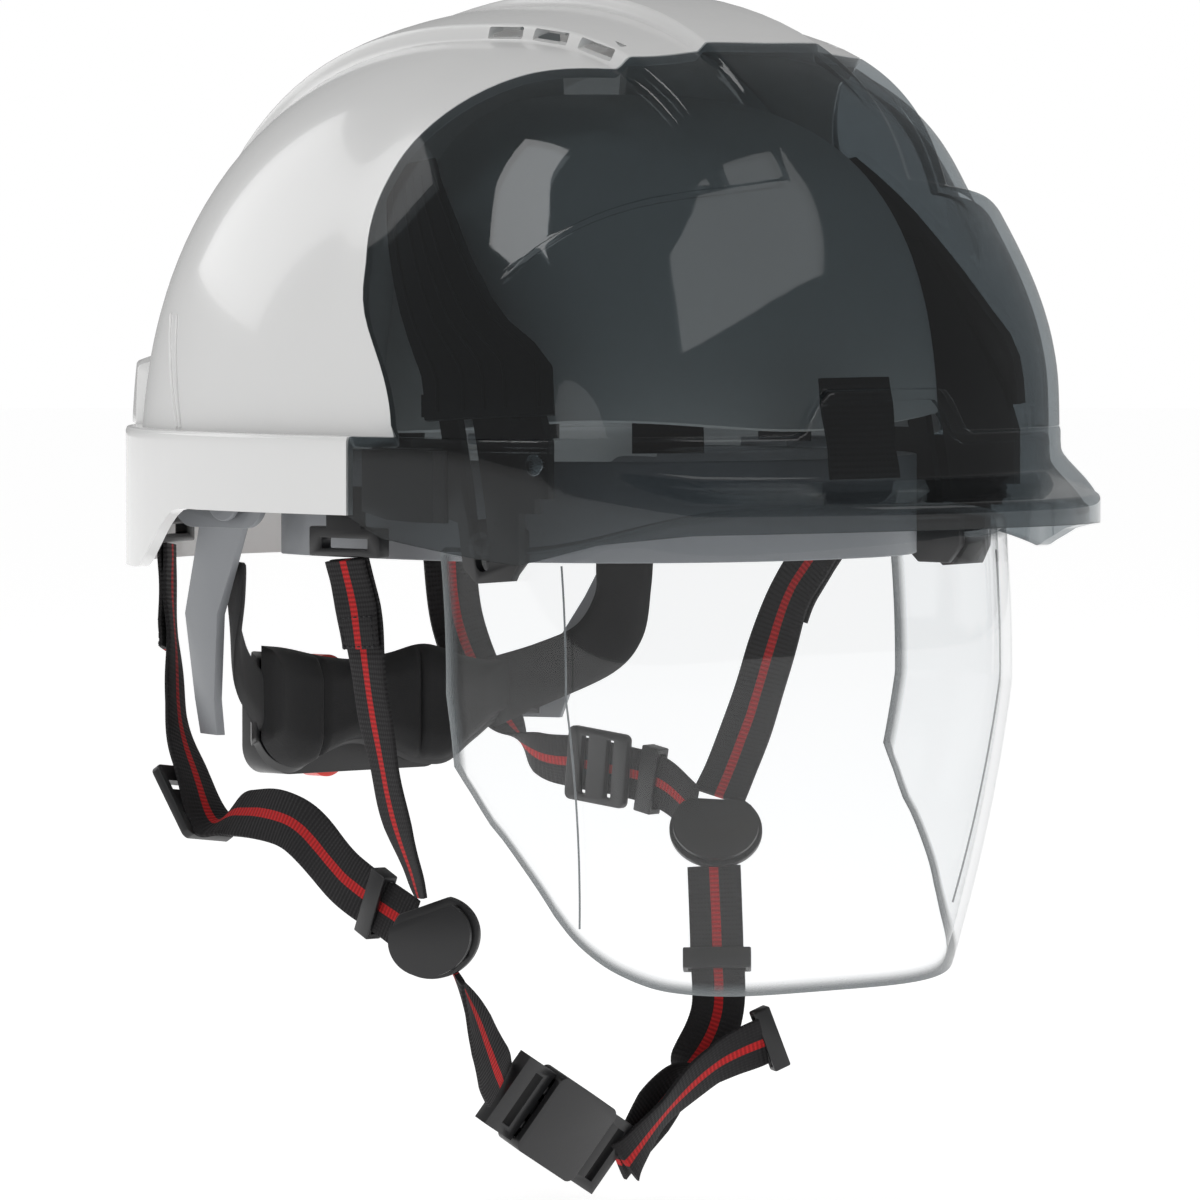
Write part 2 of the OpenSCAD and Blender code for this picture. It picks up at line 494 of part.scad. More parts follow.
// Side-release buckle: x runs from the plug towards the socket
module on_buckle() on_plane(buckle_at, buckle_dir, buckle_face) children();
module buckle_female() color([0.06, 0.06, 0.06]) on_buckle() {
    difference() {
        translate([-2, 0, 0]) linear_extrude(9, center = true) offset(r = 3) square([22, 18],
            center = true);
        translate([-2, 0, 0]) cube([23, 19, 5.4], center = true);
        translate([-20, 0, 0]) cube([20, 19, 5.4], center = true);
        for (s = [-1, 1]) translate([-3, s * 11, 0]) cube([9, 6, 5.4], center = true);
    }
    translate([17, 0, 0]) difference() {
        cube([16, 22, 4], center = true);
        for (x = [-4, 3]) translate([x, 0, 0]) cube([3.4, 16.4, 8], center = true);
    }
}
module buckle_male() color([0.06, 0.06, 0.06]) on_buckle() {
    translate([-23, 0, 0]) difference() {
        cube([13, 22, 4.4], center = true);
        translate([1, 0, 0]) cube([3.4, 16.4, 8], center = true);
    }
    translate([-7, 0, 0]) cube([20, 4, 4], center = true);
}
module prong() color([0.06, 0.06, 0.06]) {
    translate([-8.6, 5.6, 0]) cube([15, 2.4, 4], center = true);
    translate([-3, 7.4, 0]) cube([7.4, 3.4, 4], center = true);
}
module buckle_prong_upper() on_buckle() prong();
module buckle_prong_lower() on_buckle() mirror([0, 1, 0]) prong();

module tail_clip() color([0.1, 0.1, 0.1])
    on_plane([56, -12.6, -149.3], [13, -6, 6], [-0.5, -0.85, -0.1]) difference() {
        cube([5, 18, 4.4], center = true);
        translate([-2, 0, 0]) cube([4, 15.4, 1.8], center = true);
    }

outer_shell();
front_window();
inner_liner();
visor_track_right();
visor_track_left();
track_screws();
visor();
visor_carriage_right();
visor_carriage_left();
visor_bosses();
headband();
front_sweatband();
front_strap_tab();
crown_strap_side();
crown_strap_long();
crown_pad();
cradle_clips();
cradle_studs();
nape_arm_right();
nape_arm_left();
nape_cradle();
nape_pad();
ratchet_housing();
ratchet_knob();
ratchet_pinion();
ratchet_rack();
ratchet_pawl();
front_anchor_right();
front_anchor_left();
rear_anchor_right();
rear_anchor_left();
front_strap_right();
front_strap_left();
rear_strap_right();
rear_strap_left();
lower_strap_right();
lower_strap_left();
tail_strap();
y_clip_right();
y_clip_left();
y_leaf_right();
y_leaf_left();
rear_adjuster_right();
rear_adjuster_left();
strap_keepers();
buckle_male();
buckle_prong_upper();
buckle_prong_lower();
buckle_female();
tail_clip();
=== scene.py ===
# %% [markdown]
# A vented safety helmet with a smoke front window, a clear face shield that slides up behind it,
# a ratchet cradle and a webbing chin strap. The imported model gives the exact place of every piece,
# so it is loaded first, and each finished piece below takes the place of the plain one it stands for.

# %% Load the frame
import json
import math

import bmesh
import bpy
import numpy as np
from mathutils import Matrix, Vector
from mathutils.bvhtree import BVHTree


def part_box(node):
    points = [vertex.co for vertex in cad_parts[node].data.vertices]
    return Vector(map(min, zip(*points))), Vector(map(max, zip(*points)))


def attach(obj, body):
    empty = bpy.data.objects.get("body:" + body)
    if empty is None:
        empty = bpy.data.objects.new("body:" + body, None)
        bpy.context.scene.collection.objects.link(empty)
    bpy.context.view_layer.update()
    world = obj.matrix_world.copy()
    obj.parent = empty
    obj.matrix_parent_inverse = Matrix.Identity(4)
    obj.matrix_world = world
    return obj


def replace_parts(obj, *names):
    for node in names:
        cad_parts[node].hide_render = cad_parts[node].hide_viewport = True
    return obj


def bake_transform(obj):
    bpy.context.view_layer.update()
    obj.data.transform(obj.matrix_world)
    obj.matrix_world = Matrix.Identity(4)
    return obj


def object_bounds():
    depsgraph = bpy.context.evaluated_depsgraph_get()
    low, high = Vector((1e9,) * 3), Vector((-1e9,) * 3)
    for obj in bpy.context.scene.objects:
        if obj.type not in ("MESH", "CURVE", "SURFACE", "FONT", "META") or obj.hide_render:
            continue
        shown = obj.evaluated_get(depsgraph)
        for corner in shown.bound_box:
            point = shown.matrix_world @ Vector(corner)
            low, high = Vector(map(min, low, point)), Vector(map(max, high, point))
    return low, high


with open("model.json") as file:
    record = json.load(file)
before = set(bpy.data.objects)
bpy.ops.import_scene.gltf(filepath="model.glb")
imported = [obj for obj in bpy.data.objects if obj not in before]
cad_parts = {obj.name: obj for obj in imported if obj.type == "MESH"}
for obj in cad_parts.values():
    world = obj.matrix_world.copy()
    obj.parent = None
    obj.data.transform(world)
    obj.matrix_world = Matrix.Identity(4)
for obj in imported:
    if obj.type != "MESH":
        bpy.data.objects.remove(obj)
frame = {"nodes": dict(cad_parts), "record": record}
record = frame["record"]
cad_box = [list(corner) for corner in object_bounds()]
MM = 0.001
body_of_node = {n: b for b, members in record["behaviour"]["bodies"].items() for n in members}
slot_of_node = {row["node"]: row["material_slot"] for row in record["subparts"]}
print("nodes", len(frame["nodes"]), "box", cad_box)

# %% [markdown]
# The camera stands three metres off with a long lens, so that the helmet shows with hardly any
# perspective. It looks at the wearer's right front, a little from above.

# %% Camera
VIEW_TURN, VIEW_RISE, VIEW_DISTANCE = math.radians(-45), math.radians(2.4), 3.0
aim_point = Vector((1.0, -1.0, -26.4)) * MM
toward = Vector((math.sin(VIEW_TURN) * math.cos(VIEW_RISE), -math.cos(VIEW_TURN) * math.cos(VIEW_RISE),
                 math.sin(VIEW_RISE)))
camera_data = bpy.data.cameras.new("camera")
camera_data.lens, camera_data.sensor_width = 328.5, 36
camera = bpy.data.objects.new("camera", camera_data)
camera.location = aim_point + toward * VIEW_DISTANCE
camera.rotation_euler = (-toward).to_track_quat("-Z", "Y").to_euler()
bpy.context.scene.collection.objects.link(camera)
bpy.context.scene.camera = camera

# %% [markdown]
# Node trees for materials and for geometry are built in code. A small class wraps an output socket
# and overloads the signs of arithmetic, so that a pattern reads like a sum. Everything else comes
# from one method that takes the node's type, its settings and its inputs.

# %% Node helpers
class Wire:
    """An output socket that can be added, multiplied and compared."""

    def __init__(self, graph, socket):
        self.graph, self.socket = graph, socket

    def maths(self, operation, other=0.0, flip=False):
        first, second = (other, self) if flip else (self, other)
        return self.graph.node("ShaderNodeMath", {"operation": operation}, {0: first, 1: second})

    def __add__(self, other): return self.maths("ADD", other)
    def __radd__(self, other): return self.maths("ADD", other)
    def __sub__(self, other): return self.maths("SUBTRACT", other)
    def __rsub__(self, other): return self.maths("SUBTRACT", other, flip=True)
    def __mul__(self, other): return self.maths("MULTIPLY", other)
    def __rmul__(self, other): return self.maths("MULTIPLY", other)
    def __truediv__(self, other): return self.maths("DIVIDE", other)
    def __pow__(self, other): return self.maths("POWER", other)
    def __lt__(self, other): return self.maths("LESS_THAN", other)
    def __gt__(self, other): return self.maths("GREATER_THAN", other)
    def __abs__(self): return self.maths("ABSOLUTE")
    def sine(self): return self.maths("SINE")
    def above(self, other): return self.maths("MAXIMUM", other)


class Graph:
    """A node tree. node() makes any node and returns its first or its named output."""

    def __init__(self, tree):
        self.tree = tree
        tree.nodes.clear()

    def node(self, kind, settings=None, values=None, out=0):
        made = self.tree.nodes.new(kind)
        for key, value in (settings or {}).items():
            if key == "stops":
                ramp = made.color_ramp
                while len(ramp.elements) < len(value):
                    ramp.elements.new(1.0)
                for element, (place, colour) in zip(ramp.elements, value):
                    element.position, element.color = place, colour
            else:
                setattr(made, key, value)
        for key, value in (values or {}).items():
            if isinstance(value, Wire):
                self.tree.links.new(value.socket, made.inputs[key])
            else:
                made.inputs[key].default_value = value
        return Wire(self, made.outputs[out] if len(made.outputs) else None)

    def blend_colours(self, share, first, second):
        return self.node("ShaderNodeMix", {"data_type": "RGBA"}, {0: share, 6: first, 7: second}, out=2)

    def noise(self, place, scale, detail=2.0):
        return self.node("ShaderNodeTexNoise", {}, {"Vector": place, "Scale": scale, "Detail": detail})

    def stretched(self, place, factors):
        return self.node("ShaderNodeMapping", {"vector_type": "POINT"}, {"Vector": place, "Scale": factors})


def rgb(*parts):
    return (*parts, 1.0)


def new_finish(name):
    material = bpy.data.materials.new(name)
    material.use_nodes = True
    graph = Graph(material.node_tree)
    return material, graph, graph.node("ShaderNodeTexCoord", out="Object")


def plastic(name, colour, roughness, grain_scale, grain_depth, shift=0.06, fixed=None):
    """A moulded plastic: a little colour drift, fine rubbing marks in the gloss and a moulded grain."""
    material, graph, place = new_finish(name)
    drift = graph.noise(place, 38.0)
    rubbed = graph.noise(graph.stretched(place, (1.0, 1.0, 7.0)), 420.0, 3.0)
    tint = graph.blend_colours(drift, rgb(*[c * (1 - shift) for c in colour]),
                               rgb(*[min(c * (1 + shift), 1) for c in colour]))
    bump = graph.node("ShaderNodeBump", {}, {"Strength": 1.0, "Distance": grain_depth,
                                             "Height": graph.noise(place, grain_scale, 3.0)})
    values = {"Base Color": tint, "Roughness": rubbed * 0.12 + (roughness - 0.06), "Normal": bump}
    shader = graph.node("ShaderNodeBsdfPrincipled", {}, {**values, **(fixed or {})})
    graph.node("ShaderNodeOutputMaterial", {}, {"Surface": shader})
    return material


def clear_plastic(name, tint, body, reflect, roughness):
    """Thin clear plastic: light passes straight through with a tint, and the surface mirrors more at a low angle.
    Cut edges, marked by the attribute 'cut_edge', turn mostly opaque in the body colour: painted shade for the dark
    line at the edge of clear plastic."""
    material, graph, place = new_finish(name)
    facing = graph.node("ShaderNodeLayerWeight", {}, {"Blend": 0.5}, out="Facing")
    cut = graph.node("ShaderNodeAttribute", {"attribute_name": "cut_edge"}, out="Fac")
    haze = graph.noise(place, 60.0) * 0.02 + roughness
    through = graph.node("ShaderNodeBsdfTransparent", {}, {"Color": rgb(*tint)})
    gloss = graph.node("ShaderNodeBsdfPrincipled", {}, {"Base Color": rgb(*body), "Roughness": haze, "IOR": 1.58,
                                                        "Metallic": 0.0})
    mirror = graph.node("ShaderNodeBsdfPrincipled", {}, {"Base Color": rgb(0.9, 0.9, 0.9), "Roughness": haze,
                                                         "Metallic": 1.0})
    share = facing ** 5.0 * 0.75 + reflect
    skin = graph.node("ShaderNodeMixShader", {}, {0: share, 1: through, 2: mirror})
    # painted shade: where 'cut_edge' is set, the see-through skin gives way to the opaque body colour
    shader = graph.node("ShaderNodeMixShader", {}, {0: cut * 0.8, 1: skin, 2: gloss})
    graph.node("ShaderNodeOutputMaterial", {}, {"Surface": shader})
    return material


# %% [markdown]
# Each finish is named for a slot of the part. The webbing has cross ribs every 1.3 mm, fine threads
# along it and a red line down the middle, all drawn on its own UV map: U runs across the tape and
# V runs along it in metres.

# %% Finishes
def woven(name, colour, stripe=None, rib=0.0013, depth=0.00022):
    material, graph, place = new_finish(name)
    uv = graph.node("ShaderNodeUVMap", {"uv_map": "tape"})
    across = graph.node("ShaderNodeSeparateXYZ", {}, {0: uv}, out="X")
    along = graph.node("ShaderNodeSeparateXYZ", {}, {0: uv}, out="Y")
    ribs = (along * (2 * math.pi / rib)).sine() * 0.5 + 0.5
    threads = (across * (2 * math.pi * 16)).sine() * 0.5 + 0.5
    fuzz = graph.noise(place, 2600.0, 3.0)
    height = ribs * 0.7 + threads * 0.2 + fuzz * 0.25
    tint = graph.blend_colours(fuzz, rgb(*[c * 0.55 for c in colour]), rgb(*[c * 1.5 for c in colour]))
    if stripe:
        wander = graph.noise(place, 90.0) * 0.03
        middle = abs(across - 0.485 - wander) < 0.085
        # painted shade: the red line is darker in the troughs of the cross ribs, following the wave that shapes the
        # bump
        red = graph.blend_colours(ribs, rgb(*[c * 0.55 for c in stripe]), rgb(*stripe))
        tint = graph.blend_colours(middle, tint, red)
    bump = graph.node("ShaderNodeBump", {}, {"Strength": 1.0, "Distance": depth, "Height": height})
    shader = graph.node("ShaderNodeBsdfPrincipled", {}, {
        "Base Color": tint, "Roughness": fuzz * 0.15 + 0.68, "Normal": bump, "Sheen Weight": 0.04,
        "Sheen Roughness": 0.5, "Specular IOR Level": 0.22})
    graph.node("ShaderNodeOutputMaterial", {}, {"Surface": shader})
    return material


def padding(name, colour, weave_scale, depth, sheen, roughness=0.8):
    """A brushed textile over foam: a fine knit in three directions and a soft sheen."""
    material, graph, place = new_finish(name)
    knit = graph.noise(graph.stretched(place, (1.0, 1.0, 2.4)), weave_scale, 2.0)
    patch = graph.noise(place, 55.0, 3.0)
    tint = graph.blend_colours(patch, rgb(*[c * 0.7 for c in colour]), rgb(*[min(c * 1.25, 1) for c in colour]))
    bump = graph.node("ShaderNodeBump", {}, {"Strength": 1.0, "Distance": depth, "Height": knit})
    shader = graph.node("ShaderNodeBsdfPrincipled", {}, {
        "Base Color": tint, "Roughness": knit * 0.2 + (roughness - 0.1), "Normal": bump,
        "Sheen Weight": sheen, "Sheen Roughness": 0.4, "Specular IOR Level": 0.25})
    graph.node("ShaderNodeOutputMaterial", {}, {"Surface": shader})
    return material


finishes = {
    "shell_white": plastic("shell_white", (0.80, 0.80, 0.795), 0.2, 900.0, 0.000004, 0.012,
                           {"Coat Weight": 0.5, "Coat Roughness": 0.06}),
    "window_smoke": clear_plastic("window_smoke", (0.47, 0.50, 0.515), (0.25, 0.29, 0.32), 0.035, 0.03),
    "liner_white": plastic("liner_white", (0.8, 0.8, 0.79), 0.5, 700.0, 0.000006, 0.02),
    "shield_clear": clear_plastic("shield_clear", (0.972, 0.977, 0.98), (0.2, 0.22, 0.23), 0.03, 0.02),
    "cradle_grey": plastic("cradle_grey", (0.235, 0.245, 0.26), 0.42, 1200.0, 0.00001),
    "sweatband_amber": padding("sweatband_amber", (0.55, 0.36, 0.05), 1800.0, 0.0001, 0.2, 0.75),
    "knob_red": plastic("knob_red", (0.75, 0.025, 0.012), 0.32, 1500.0, 0.00001),
    "pinion_white": plastic("pinion_white", (0.7, 0.7, 0.66), 0.4, 1500.0, 0.00001),
    "spring_steel": plastic("spring_steel", (0.56, 0.57, 0.58), 0.26, 1400.0, 0.00002, 0.05, {"Metallic": 1.0}),
    "pad_black": padding("pad_black", (0.016, 0.016, 0.017), 2200.0, 0.00008, 0.05, 0.6),
    "textile_black": woven("textile_black", (0.02, 0.02, 0.022), rib=0.0016),
    "webbing_black": woven("webbing_black", (0.016, 0.015, 0.016), stripe=(0.55, 0.018, 0.02)),
    "housing_gloss": plastic("housing_gloss", (0.014, 0.014, 0.015), 0.3, 1500.0, 0.00001),
    "fittings_black": plastic("fittings_black", (0.013, 0.013, 0.014), 0.36, 1300.0, 0.000012),
}
print("finishes", len(finishes))

# %% [markdown]
# Three helpers turn points into pieces. solid() makes a closed mesh and turns it the right way out,
# skin() joins an outer and an inner grid of points into a closed wall, and settle() gives a finished
# piece its material, its body and the plain node that it stands for.

# %% Mesh helpers
def solid(name, points, faces, sharp=35.0):
    mesh = bpy.data.meshes.new(name)
    mesh.from_pydata([tuple(p) for p in np.asarray(points, float) * MM], [], faces)
    mesh.validate()
    work = bmesh.new()
    work.from_mesh(mesh)
    bmesh.ops.remove_doubles(work, verts=work.verts, dist=2e-6)
    if work.calc_volume(signed=True) < 0:
        bmesh.ops.reverse_faces(work, faces=work.faces)
    work.to_mesh(mesh)
    work.free()
    mesh.shade_smooth()
    mesh.set_sharp_from_angle(angle=math.radians(sharp))
    piece = bpy.data.objects.new(name, mesh)
    bpy.context.scene.collection.objects.link(piece)
    return piece


def skin(name, outer, inner, sharp=35.0):
    outer, inner = np.asarray(outer, float), np.asarray(inner, float)
    rows, cols = outer.shape[:2]
    half = rows * cols
    grid = np.arange(half).reshape(rows, cols)
    faces = []
    for i in range(rows - 1):
        for j in range(cols - 1):
            a, b, c, d = (int(v) for v in (grid[i, j], grid[i, j + 1], grid[i + 1, j + 1], grid[i + 1, j]))
            faces += [(a, b, c, d), (d + half, c + half, b + half, a + half)]
    for line, turned in ((grid[0], True), (grid[-1], False), (grid[:, 0], False), (grid[:, -1], True)):
        for a, b in zip(line[:-1].tolist(), line[1:].tolist()):
            faces.append((b, a, a + half, b + half) if turned else (a, b, b + half, a + half))
    return solid(name, np.concatenate([outer.reshape(-1, 3), inner.reshape(-1, 3)]), faces, sharp)


def paint(piece, slot):
    piece.data.materials.clear()
    piece.data.materials.append(finishes[slot])


def settle(piece, *nodes, slot=None):
    """A piece that stands for one node or more, and rides the body of the first."""
    paint(piece, slot or slot_of_node[nodes[0]])
    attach(piece, body_of_node[nodes[0]])
    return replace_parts(piece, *nodes)


def extra(piece, body, slot):
    """A piece of detail that stands for no node of its own."""
    paint(piece, slot)
    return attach(piece, body)


def applied(piece):
    """Replaces a piece's mesh by what its modifiers make of it."""
    graph = bpy.context.evaluated_depsgraph_get()
    mesh = bpy.data.meshes.new_from_object(piece.evaluated_get(graph))
    piece.modifiers.clear()
    piece.data = mesh
    return piece


# %% [markdown]
# The dome follows one rule: a stretched ball that is blunter in front, with raised crest steps, a
# bulge over the brow and a block at the back. The same rule, with sharper steps, makes the white shell
# and the smoke window here, on a grid that is finest where a step turns.

# %% The dome's rule
DOME_B, DOME_REAR, DOME_FRONT, DOME_TOP, WALL = 108, 125, 104, 133, 3
LEDGE_Z, STEP_H, CREST_H, PEAK, NAPE = 21, 4, 3.6, 150, 136


def ease(a, b, x):
    t = np.clip((x - a) / (b - a), 0, 1)
    return t * t * (3 - 2 * t)


def mix(a, b, t):
    return a + (b - a) * t


def oval(x, y, n):
    return (np.abs(x) ** n + np.abs(y) ** n) ** (1 / n)


def sind(a): return np.sin(np.radians(a))
def cosd(a): return np.cos(np.radians(a))


def dome_r(d):
    ahead = d[..., 1] < 0
    flat = np.maximum(np.hypot(d[..., 0], d[..., 1]), 1e-6)
    rise = np.degrees(np.arcsin(np.clip(d[..., 2], -1, 1)))
    a = np.where(ahead, DOME_FRONT, DOME_REAR)
    n = np.where(ahead, 2.5 + ease(42, 14, rise), 2.5)
    m = np.where(ahead, 2.4 + 0.6 * ease(0, 0.8, -d[..., 1] / flat) * ease(80, 45, rise), 2.4)
    return (oval(d[..., 0] / DOME_B, d[..., 1] / a, n) ** m + (np.abs(d[..., 2]) / DOME_TOP) ** m) ** (-1 / m)


def crest_edge(p): return mix(10.2, 7.8, ease(45, 85, p))
def bulge_edge(s): return 43.5 + 3 * ease(14, 40, np.abs(s))


def raised(s, p):
    outer = STEP_H * ease(19.6, 18.2, np.abs(s))
    inner = CREST_H * mix(0.25, 1, ease(45, 75, p)) * ease(0.6, -0.6, np.abs(s) - crest_edge(p))
    bulge = (STEP_H + 0.9) * ease(0.9, -0.9, p - bulge_edge(s)) * ease(49, 42, np.abs(s))
    block = 9 * ease(29, 27, np.abs(s)) * ease(160, 162.5, p)
    return np.maximum(np.maximum(outer + inner * ease(112, 84, p), bulge), block)


def aim(s, p):
    return np.stack([sind(s), -cosd(s) * cosd(p), cosd(s) * sind(p)], -1)


def on_dome(s, p, deep):
    d = aim(s, p)
    return d * (dome_r(d) + raised(s, p) - deep)[..., None]


# %% [markdown]
# Below the dome a ledge runs out to the rim, in front as a peak and behind over the nape, and a skirt
# hangs from it. Each column of the grid runs from the joint between shell and window down the dome,
# over the ledge and down the skirt, with the corners rounded off.

# %% Ledge, skirt and the wall of shell or window
def arch(x): return ease(34, 22, np.abs(x))


def ledge_r(t):
    c, s = cosd(t), sind(t)
    return np.where(s < 0, 1 / oval(c / 113, s / 111, 3.2), 1 / oval(c / 113, s / NAPE, 2.2))


def rim_r(t):
    c, s = cosd(t), sind(t)
    return np.where(s < 0, np.maximum(ledge_r(t) + 0.4, 1 / oval(c / 113, s / PEAK, 2.2)), ledge_r(t) + 0.4)


def ledge_h(t): return LEDGE_Z + np.where(sind(t) < 0, 12 * arch(ledge_r(t) * cosd(t)), 0)


def table(x, pairs):
    xs, ys = zip(*pairs)
    return np.interp(x, xs, ys)


def root_h(t): return table(rim_r(t) * sind(t), [(-150, 9), (-118, 10), (-95, 14), (-60, 20), (-50, 20.2)])
def edge_h(t): return table(rim_r(t) * sind(t), [(-150, 4), (-115, 4), (-95, 9.5), (-58, 19), (-50, 19.8)])


def hem_h(t):
    y = rim_r(t) * sind(t)
    front = table(y, [(-150, -3), (-115, -4), (-94, -6.6), (-74, -12.3), (-32, -5.7), (-20, 0)])
    return np.where(y > 0, -17 * ease(52, 84, y), front)


def at(t, r, z): return np.stack([r * cosd(t), r * sind(t), np.broadcast_to(z, np.shape(t))], -1)


def level_r(t):
    d = np.stack([cosd(t) * cosd(11), sind(t) * cosd(11), np.full(np.shape(t), sind(11))], -1)
    return dome_r(d) * cosd(11)


def foot_angles(t):
    d = np.stack([cosd(t), sind(t), ledge_h(t) / level_r(t)], -1)
    d /= np.linalg.norm(d, axis=-1, keepdims=True)
    return np.degrees(np.arcsin(d[..., 0])), np.degrees(np.arctan2(d[..., 2], -d[..., 1]))


def rounded(path, radii, parts=4):
    """Rounds the inner corners of a path whose points are whole rows, and adds points on its straights."""
    rows = [path[0]]
    for i in range(1, len(path) - 1):
        a, b, c = path[i - 1], path[i], path[i + 1]
        before, after = (np.linalg.norm(v, axis=-1, keepdims=True) + 1e-9 for v in (a - b, c - b))
        start = b + (a - b) * np.minimum(radii[i - 1] / before, 0.45)
        end = b + (c - b) * np.minimum(radii[i - 1] / after, 0.45)
        rows += [(rows[-1] + start) / 2, start]
        for k in range(1, parts + 1):
            u = k / parts
            rows.append(start * (1 - u) ** 2 + b * 2 * u * (1 - u) + end * u * u)
    return rows + [mix(rows[-1], path[-1], k / 4) for k in (1, 2, 3, 4)]


JOINT = [(0, 62.5), (7.6, 62.9), (18.3, 64.4), (27.3, 73.4), (42.3, 82.7), (54.5, 79.7), (63.4, 68), (70.4, 36)]
half_sides = [70, 68.6, 66.6, 63.4, 59, 53, 47, 41, 34.5, 28, 23, 18.3, 13, 7.6, 0]
half_front = [190.4, 195, 200, 206, 212, 218, 224, 230, 236, 242, 248, 254, 259.5, 264.8, 270]
half_foot = [197, 199.5, 202.8, 207.4, 212.6, 218, 224, 230, 236, 242, 248, 254, 259.5, 264.8, 270]
half_rear = [190, 184, 177, 169, 161, 153, 145.5, 138, 130.5, 123, 115.5, 109, 103, 96.5, 90]
rear_foot = [196.6, 186] + half_rear[2:]
spans = [(0, 7.4, 6), (7.9, 10.1, 14), (11, 17, 5), (17.8, 20.0, 13), (21, 26, 5), (26.6, 29.4, 9), (30.6, 41, 8),
         (42, 49.5, 9), (51, 66, 11), (66.8, 70, 6)]
half_columns = np.concatenate([np.linspace(*span) for span in spans])
columns = np.concatenate([-half_columns[::-1], half_columns[1:]])


def spread(side, halves, middle_turn):
    """Azimuth for each column from a table for the wearer's right half."""
    turn = np.interp(np.abs(side), half_sides[::-1], halves[::-1])
    return np.where(side < 0, turn, 2 * middle_turn - turn)


def smooth_table(x, pairs):
    """A table read along smooth curves (Catmull-Rom slopes) in place of straight lines."""
    xs, ys = (np.array(v, float) for v in zip(*pairs))
    slope = np.gradient(ys, xs)
    slope[0] = 0
    i = np.clip(np.searchsorted(xs, x) - 1, 0, len(xs) - 2)
    h = xs[i + 1] - xs[i]
    k = np.clip((x - xs[i]) / h, 0, 1)
    return ((2 * k ** 3 - 3 * k ** 2 + 1) * ys[i] + (k ** 3 - 2 * k ** 2 + k) * h * slope[i]
            + (3 * k ** 2 - 2 * k ** 3) * ys[i + 1] + (k ** 3 - k ** 2) * h * slope[i + 1])


def wall_rows(back, deep):
    side = columns
    top = smooth_table(np.abs(side), JOINT) + (0.25 if back else 0)
    turn = spread(side, half_rear if back else half_front, 90 if back else 270)
    foot = spread(side, rear_foot if back else half_foot, 90 if back else 270)
    near = ease(30, 22, np.abs(side))
    straight = foot.copy()
    for _ in range(6):
        flat = level_r(straight) / np.hypot(level_r(straight), ledge_h(straight))
        c = np.clip(sind(side) / flat, -1, 1)
        straight = (90 - np.degrees(np.arcsin(c))) if back else (270 + np.degrees(np.arcsin(c)))
    foot, turn = mix(foot, straight, near), mix(turn, straight, near)
    s_foot, p_foot = foot_angles(foot)
    edge = np.full(len(side), 161.2) if back else bulge_edge(side)
    share = np.clip((edge - top) / (p_foot - top), 0.2, 0.9)
    width = np.minimum(1.6 / np.abs(p_foot - top), 0.08)
    rows = []
    for start, end, count in ((0 * share, share - width, 34), (share - width, share + width, 12),
                              (share + width, 0 * share + 1, 20)):
        for k in np.arange(count) / count:
            f = mix(start, end, k)
            s, p = mix(side, s_foot, f), mix(top, p_foot, f)
            pull = (crest_edge(p) - 9.0) * ease(3, 7.5, np.abs(s)) * ease(16, 10.6, np.abs(s))
            rows.append(on_dome(s + np.sign(s) * pull, p, deep))
    low = on_dome(s_foot, p_foot, deep)
    path = [rows[-1], low, at(foot, np.hypot(low[:, 0], low[:, 1]), ledge_h(foot) - deep),
            at(turn, ledge_r(turn) - deep, ledge_h(turn) - deep),
            at(turn, ledge_r(turn) + 0.2 - deep, root_h(turn) - deep),
            at(turn, rim_r(turn) - deep, edge_h(turn) - deep),
            at(turn, rim_r(turn) - deep, hem_h(turn))]
    path[2][:, :2] = low[:, :2]
    return np.array(rows[:-1] + rounded(path, [0.3, 1.5, 1.4, 1.4, 1.6]))


def wall_piece(name, back):
    outer, inner = wall_rows(back, 0), wall_rows(back, WALL)
    if back:
        outer[..., 0] *= -1
        inner[..., 0] *= -1
    return skin(name, outer, inner, 32)


# %% [markdown]
# The white shell has three pockets on each side of its crest. They are real holes, cut with a Boolean
# modifier by rounded bars, because light falling into them is what makes them read as vents.

# %% White shell
shell = wall_piece("shell", True)
cutter_mesh = bpy.data.meshes.new("vent_bars")
bars = bmesh.new()
angles = np.linspace(60, 95, 300)
for y in (-45.4, -27.8, -10.2):
    p = float(np.interp(y, on_dome(19 + 0 * angles, angles, 0)[:, 1], angles))
    step_low, step_top, fore, aft = (on_dome(np.array(a), np.array(b), 0) for a, b in
                                     ((19.8, p), (18.0, p), (19.8, p - 1), (19.8, p + 1)))
    along = (aft - fore) / np.linalg.norm(aft - fore)
    up = aim(np.array(19.0), np.array(p))
    out = np.cross(up, along)
    out *= np.sign(out[0]) / np.linalg.norm(out)
    middle = (step_low + step_top) / 2
    for centre, size in ((middle - out * 1.5, (13.4, 2.9, 8.0)),
                         (middle - out * 5.5 - up * 1.2 - along * 3.2, (6.4, 2.0, 7.0))):
        for side in (-1, 1):
            for v in bmesh.ops.create_cube(bars, size=1.0)["verts"]:
                point = centre + along * v.co.x * size[0] + up * v.co.y * size[1] + out * v.co.z * size[2]
                v.co = Vector((side * point[0], point[1], point[2])) * MM
bmesh.ops.recalc_face_normals(bars, faces=bars.faces)
bmesh.ops.bevel(bars, geom=bars.edges[:], offset=0.0006, segments=3, affect="EDGES", profile=0.5)
bars.to_mesh(cutter_mesh)
bars.free()
cutter = bpy.data.objects.new("vent_bars", cutter_mesh)
bpy.context.scene.collection.objects.link(cutter)
cut = shell.modifiers.new("vents", "BOOLEAN")
cut.operation, cut.object, cut.solver, cut.use_self = "DIFFERENCE", cutter, "EXACT", True
applied(shell)
bpy.data.objects.remove(cutter)
shell.data.shade_smooth()
shell.data.set_sharp_from_angle(angle=math.radians(32))
settle(shell, "outer_shell")
print("shell faces", len(shell.data.polygons))
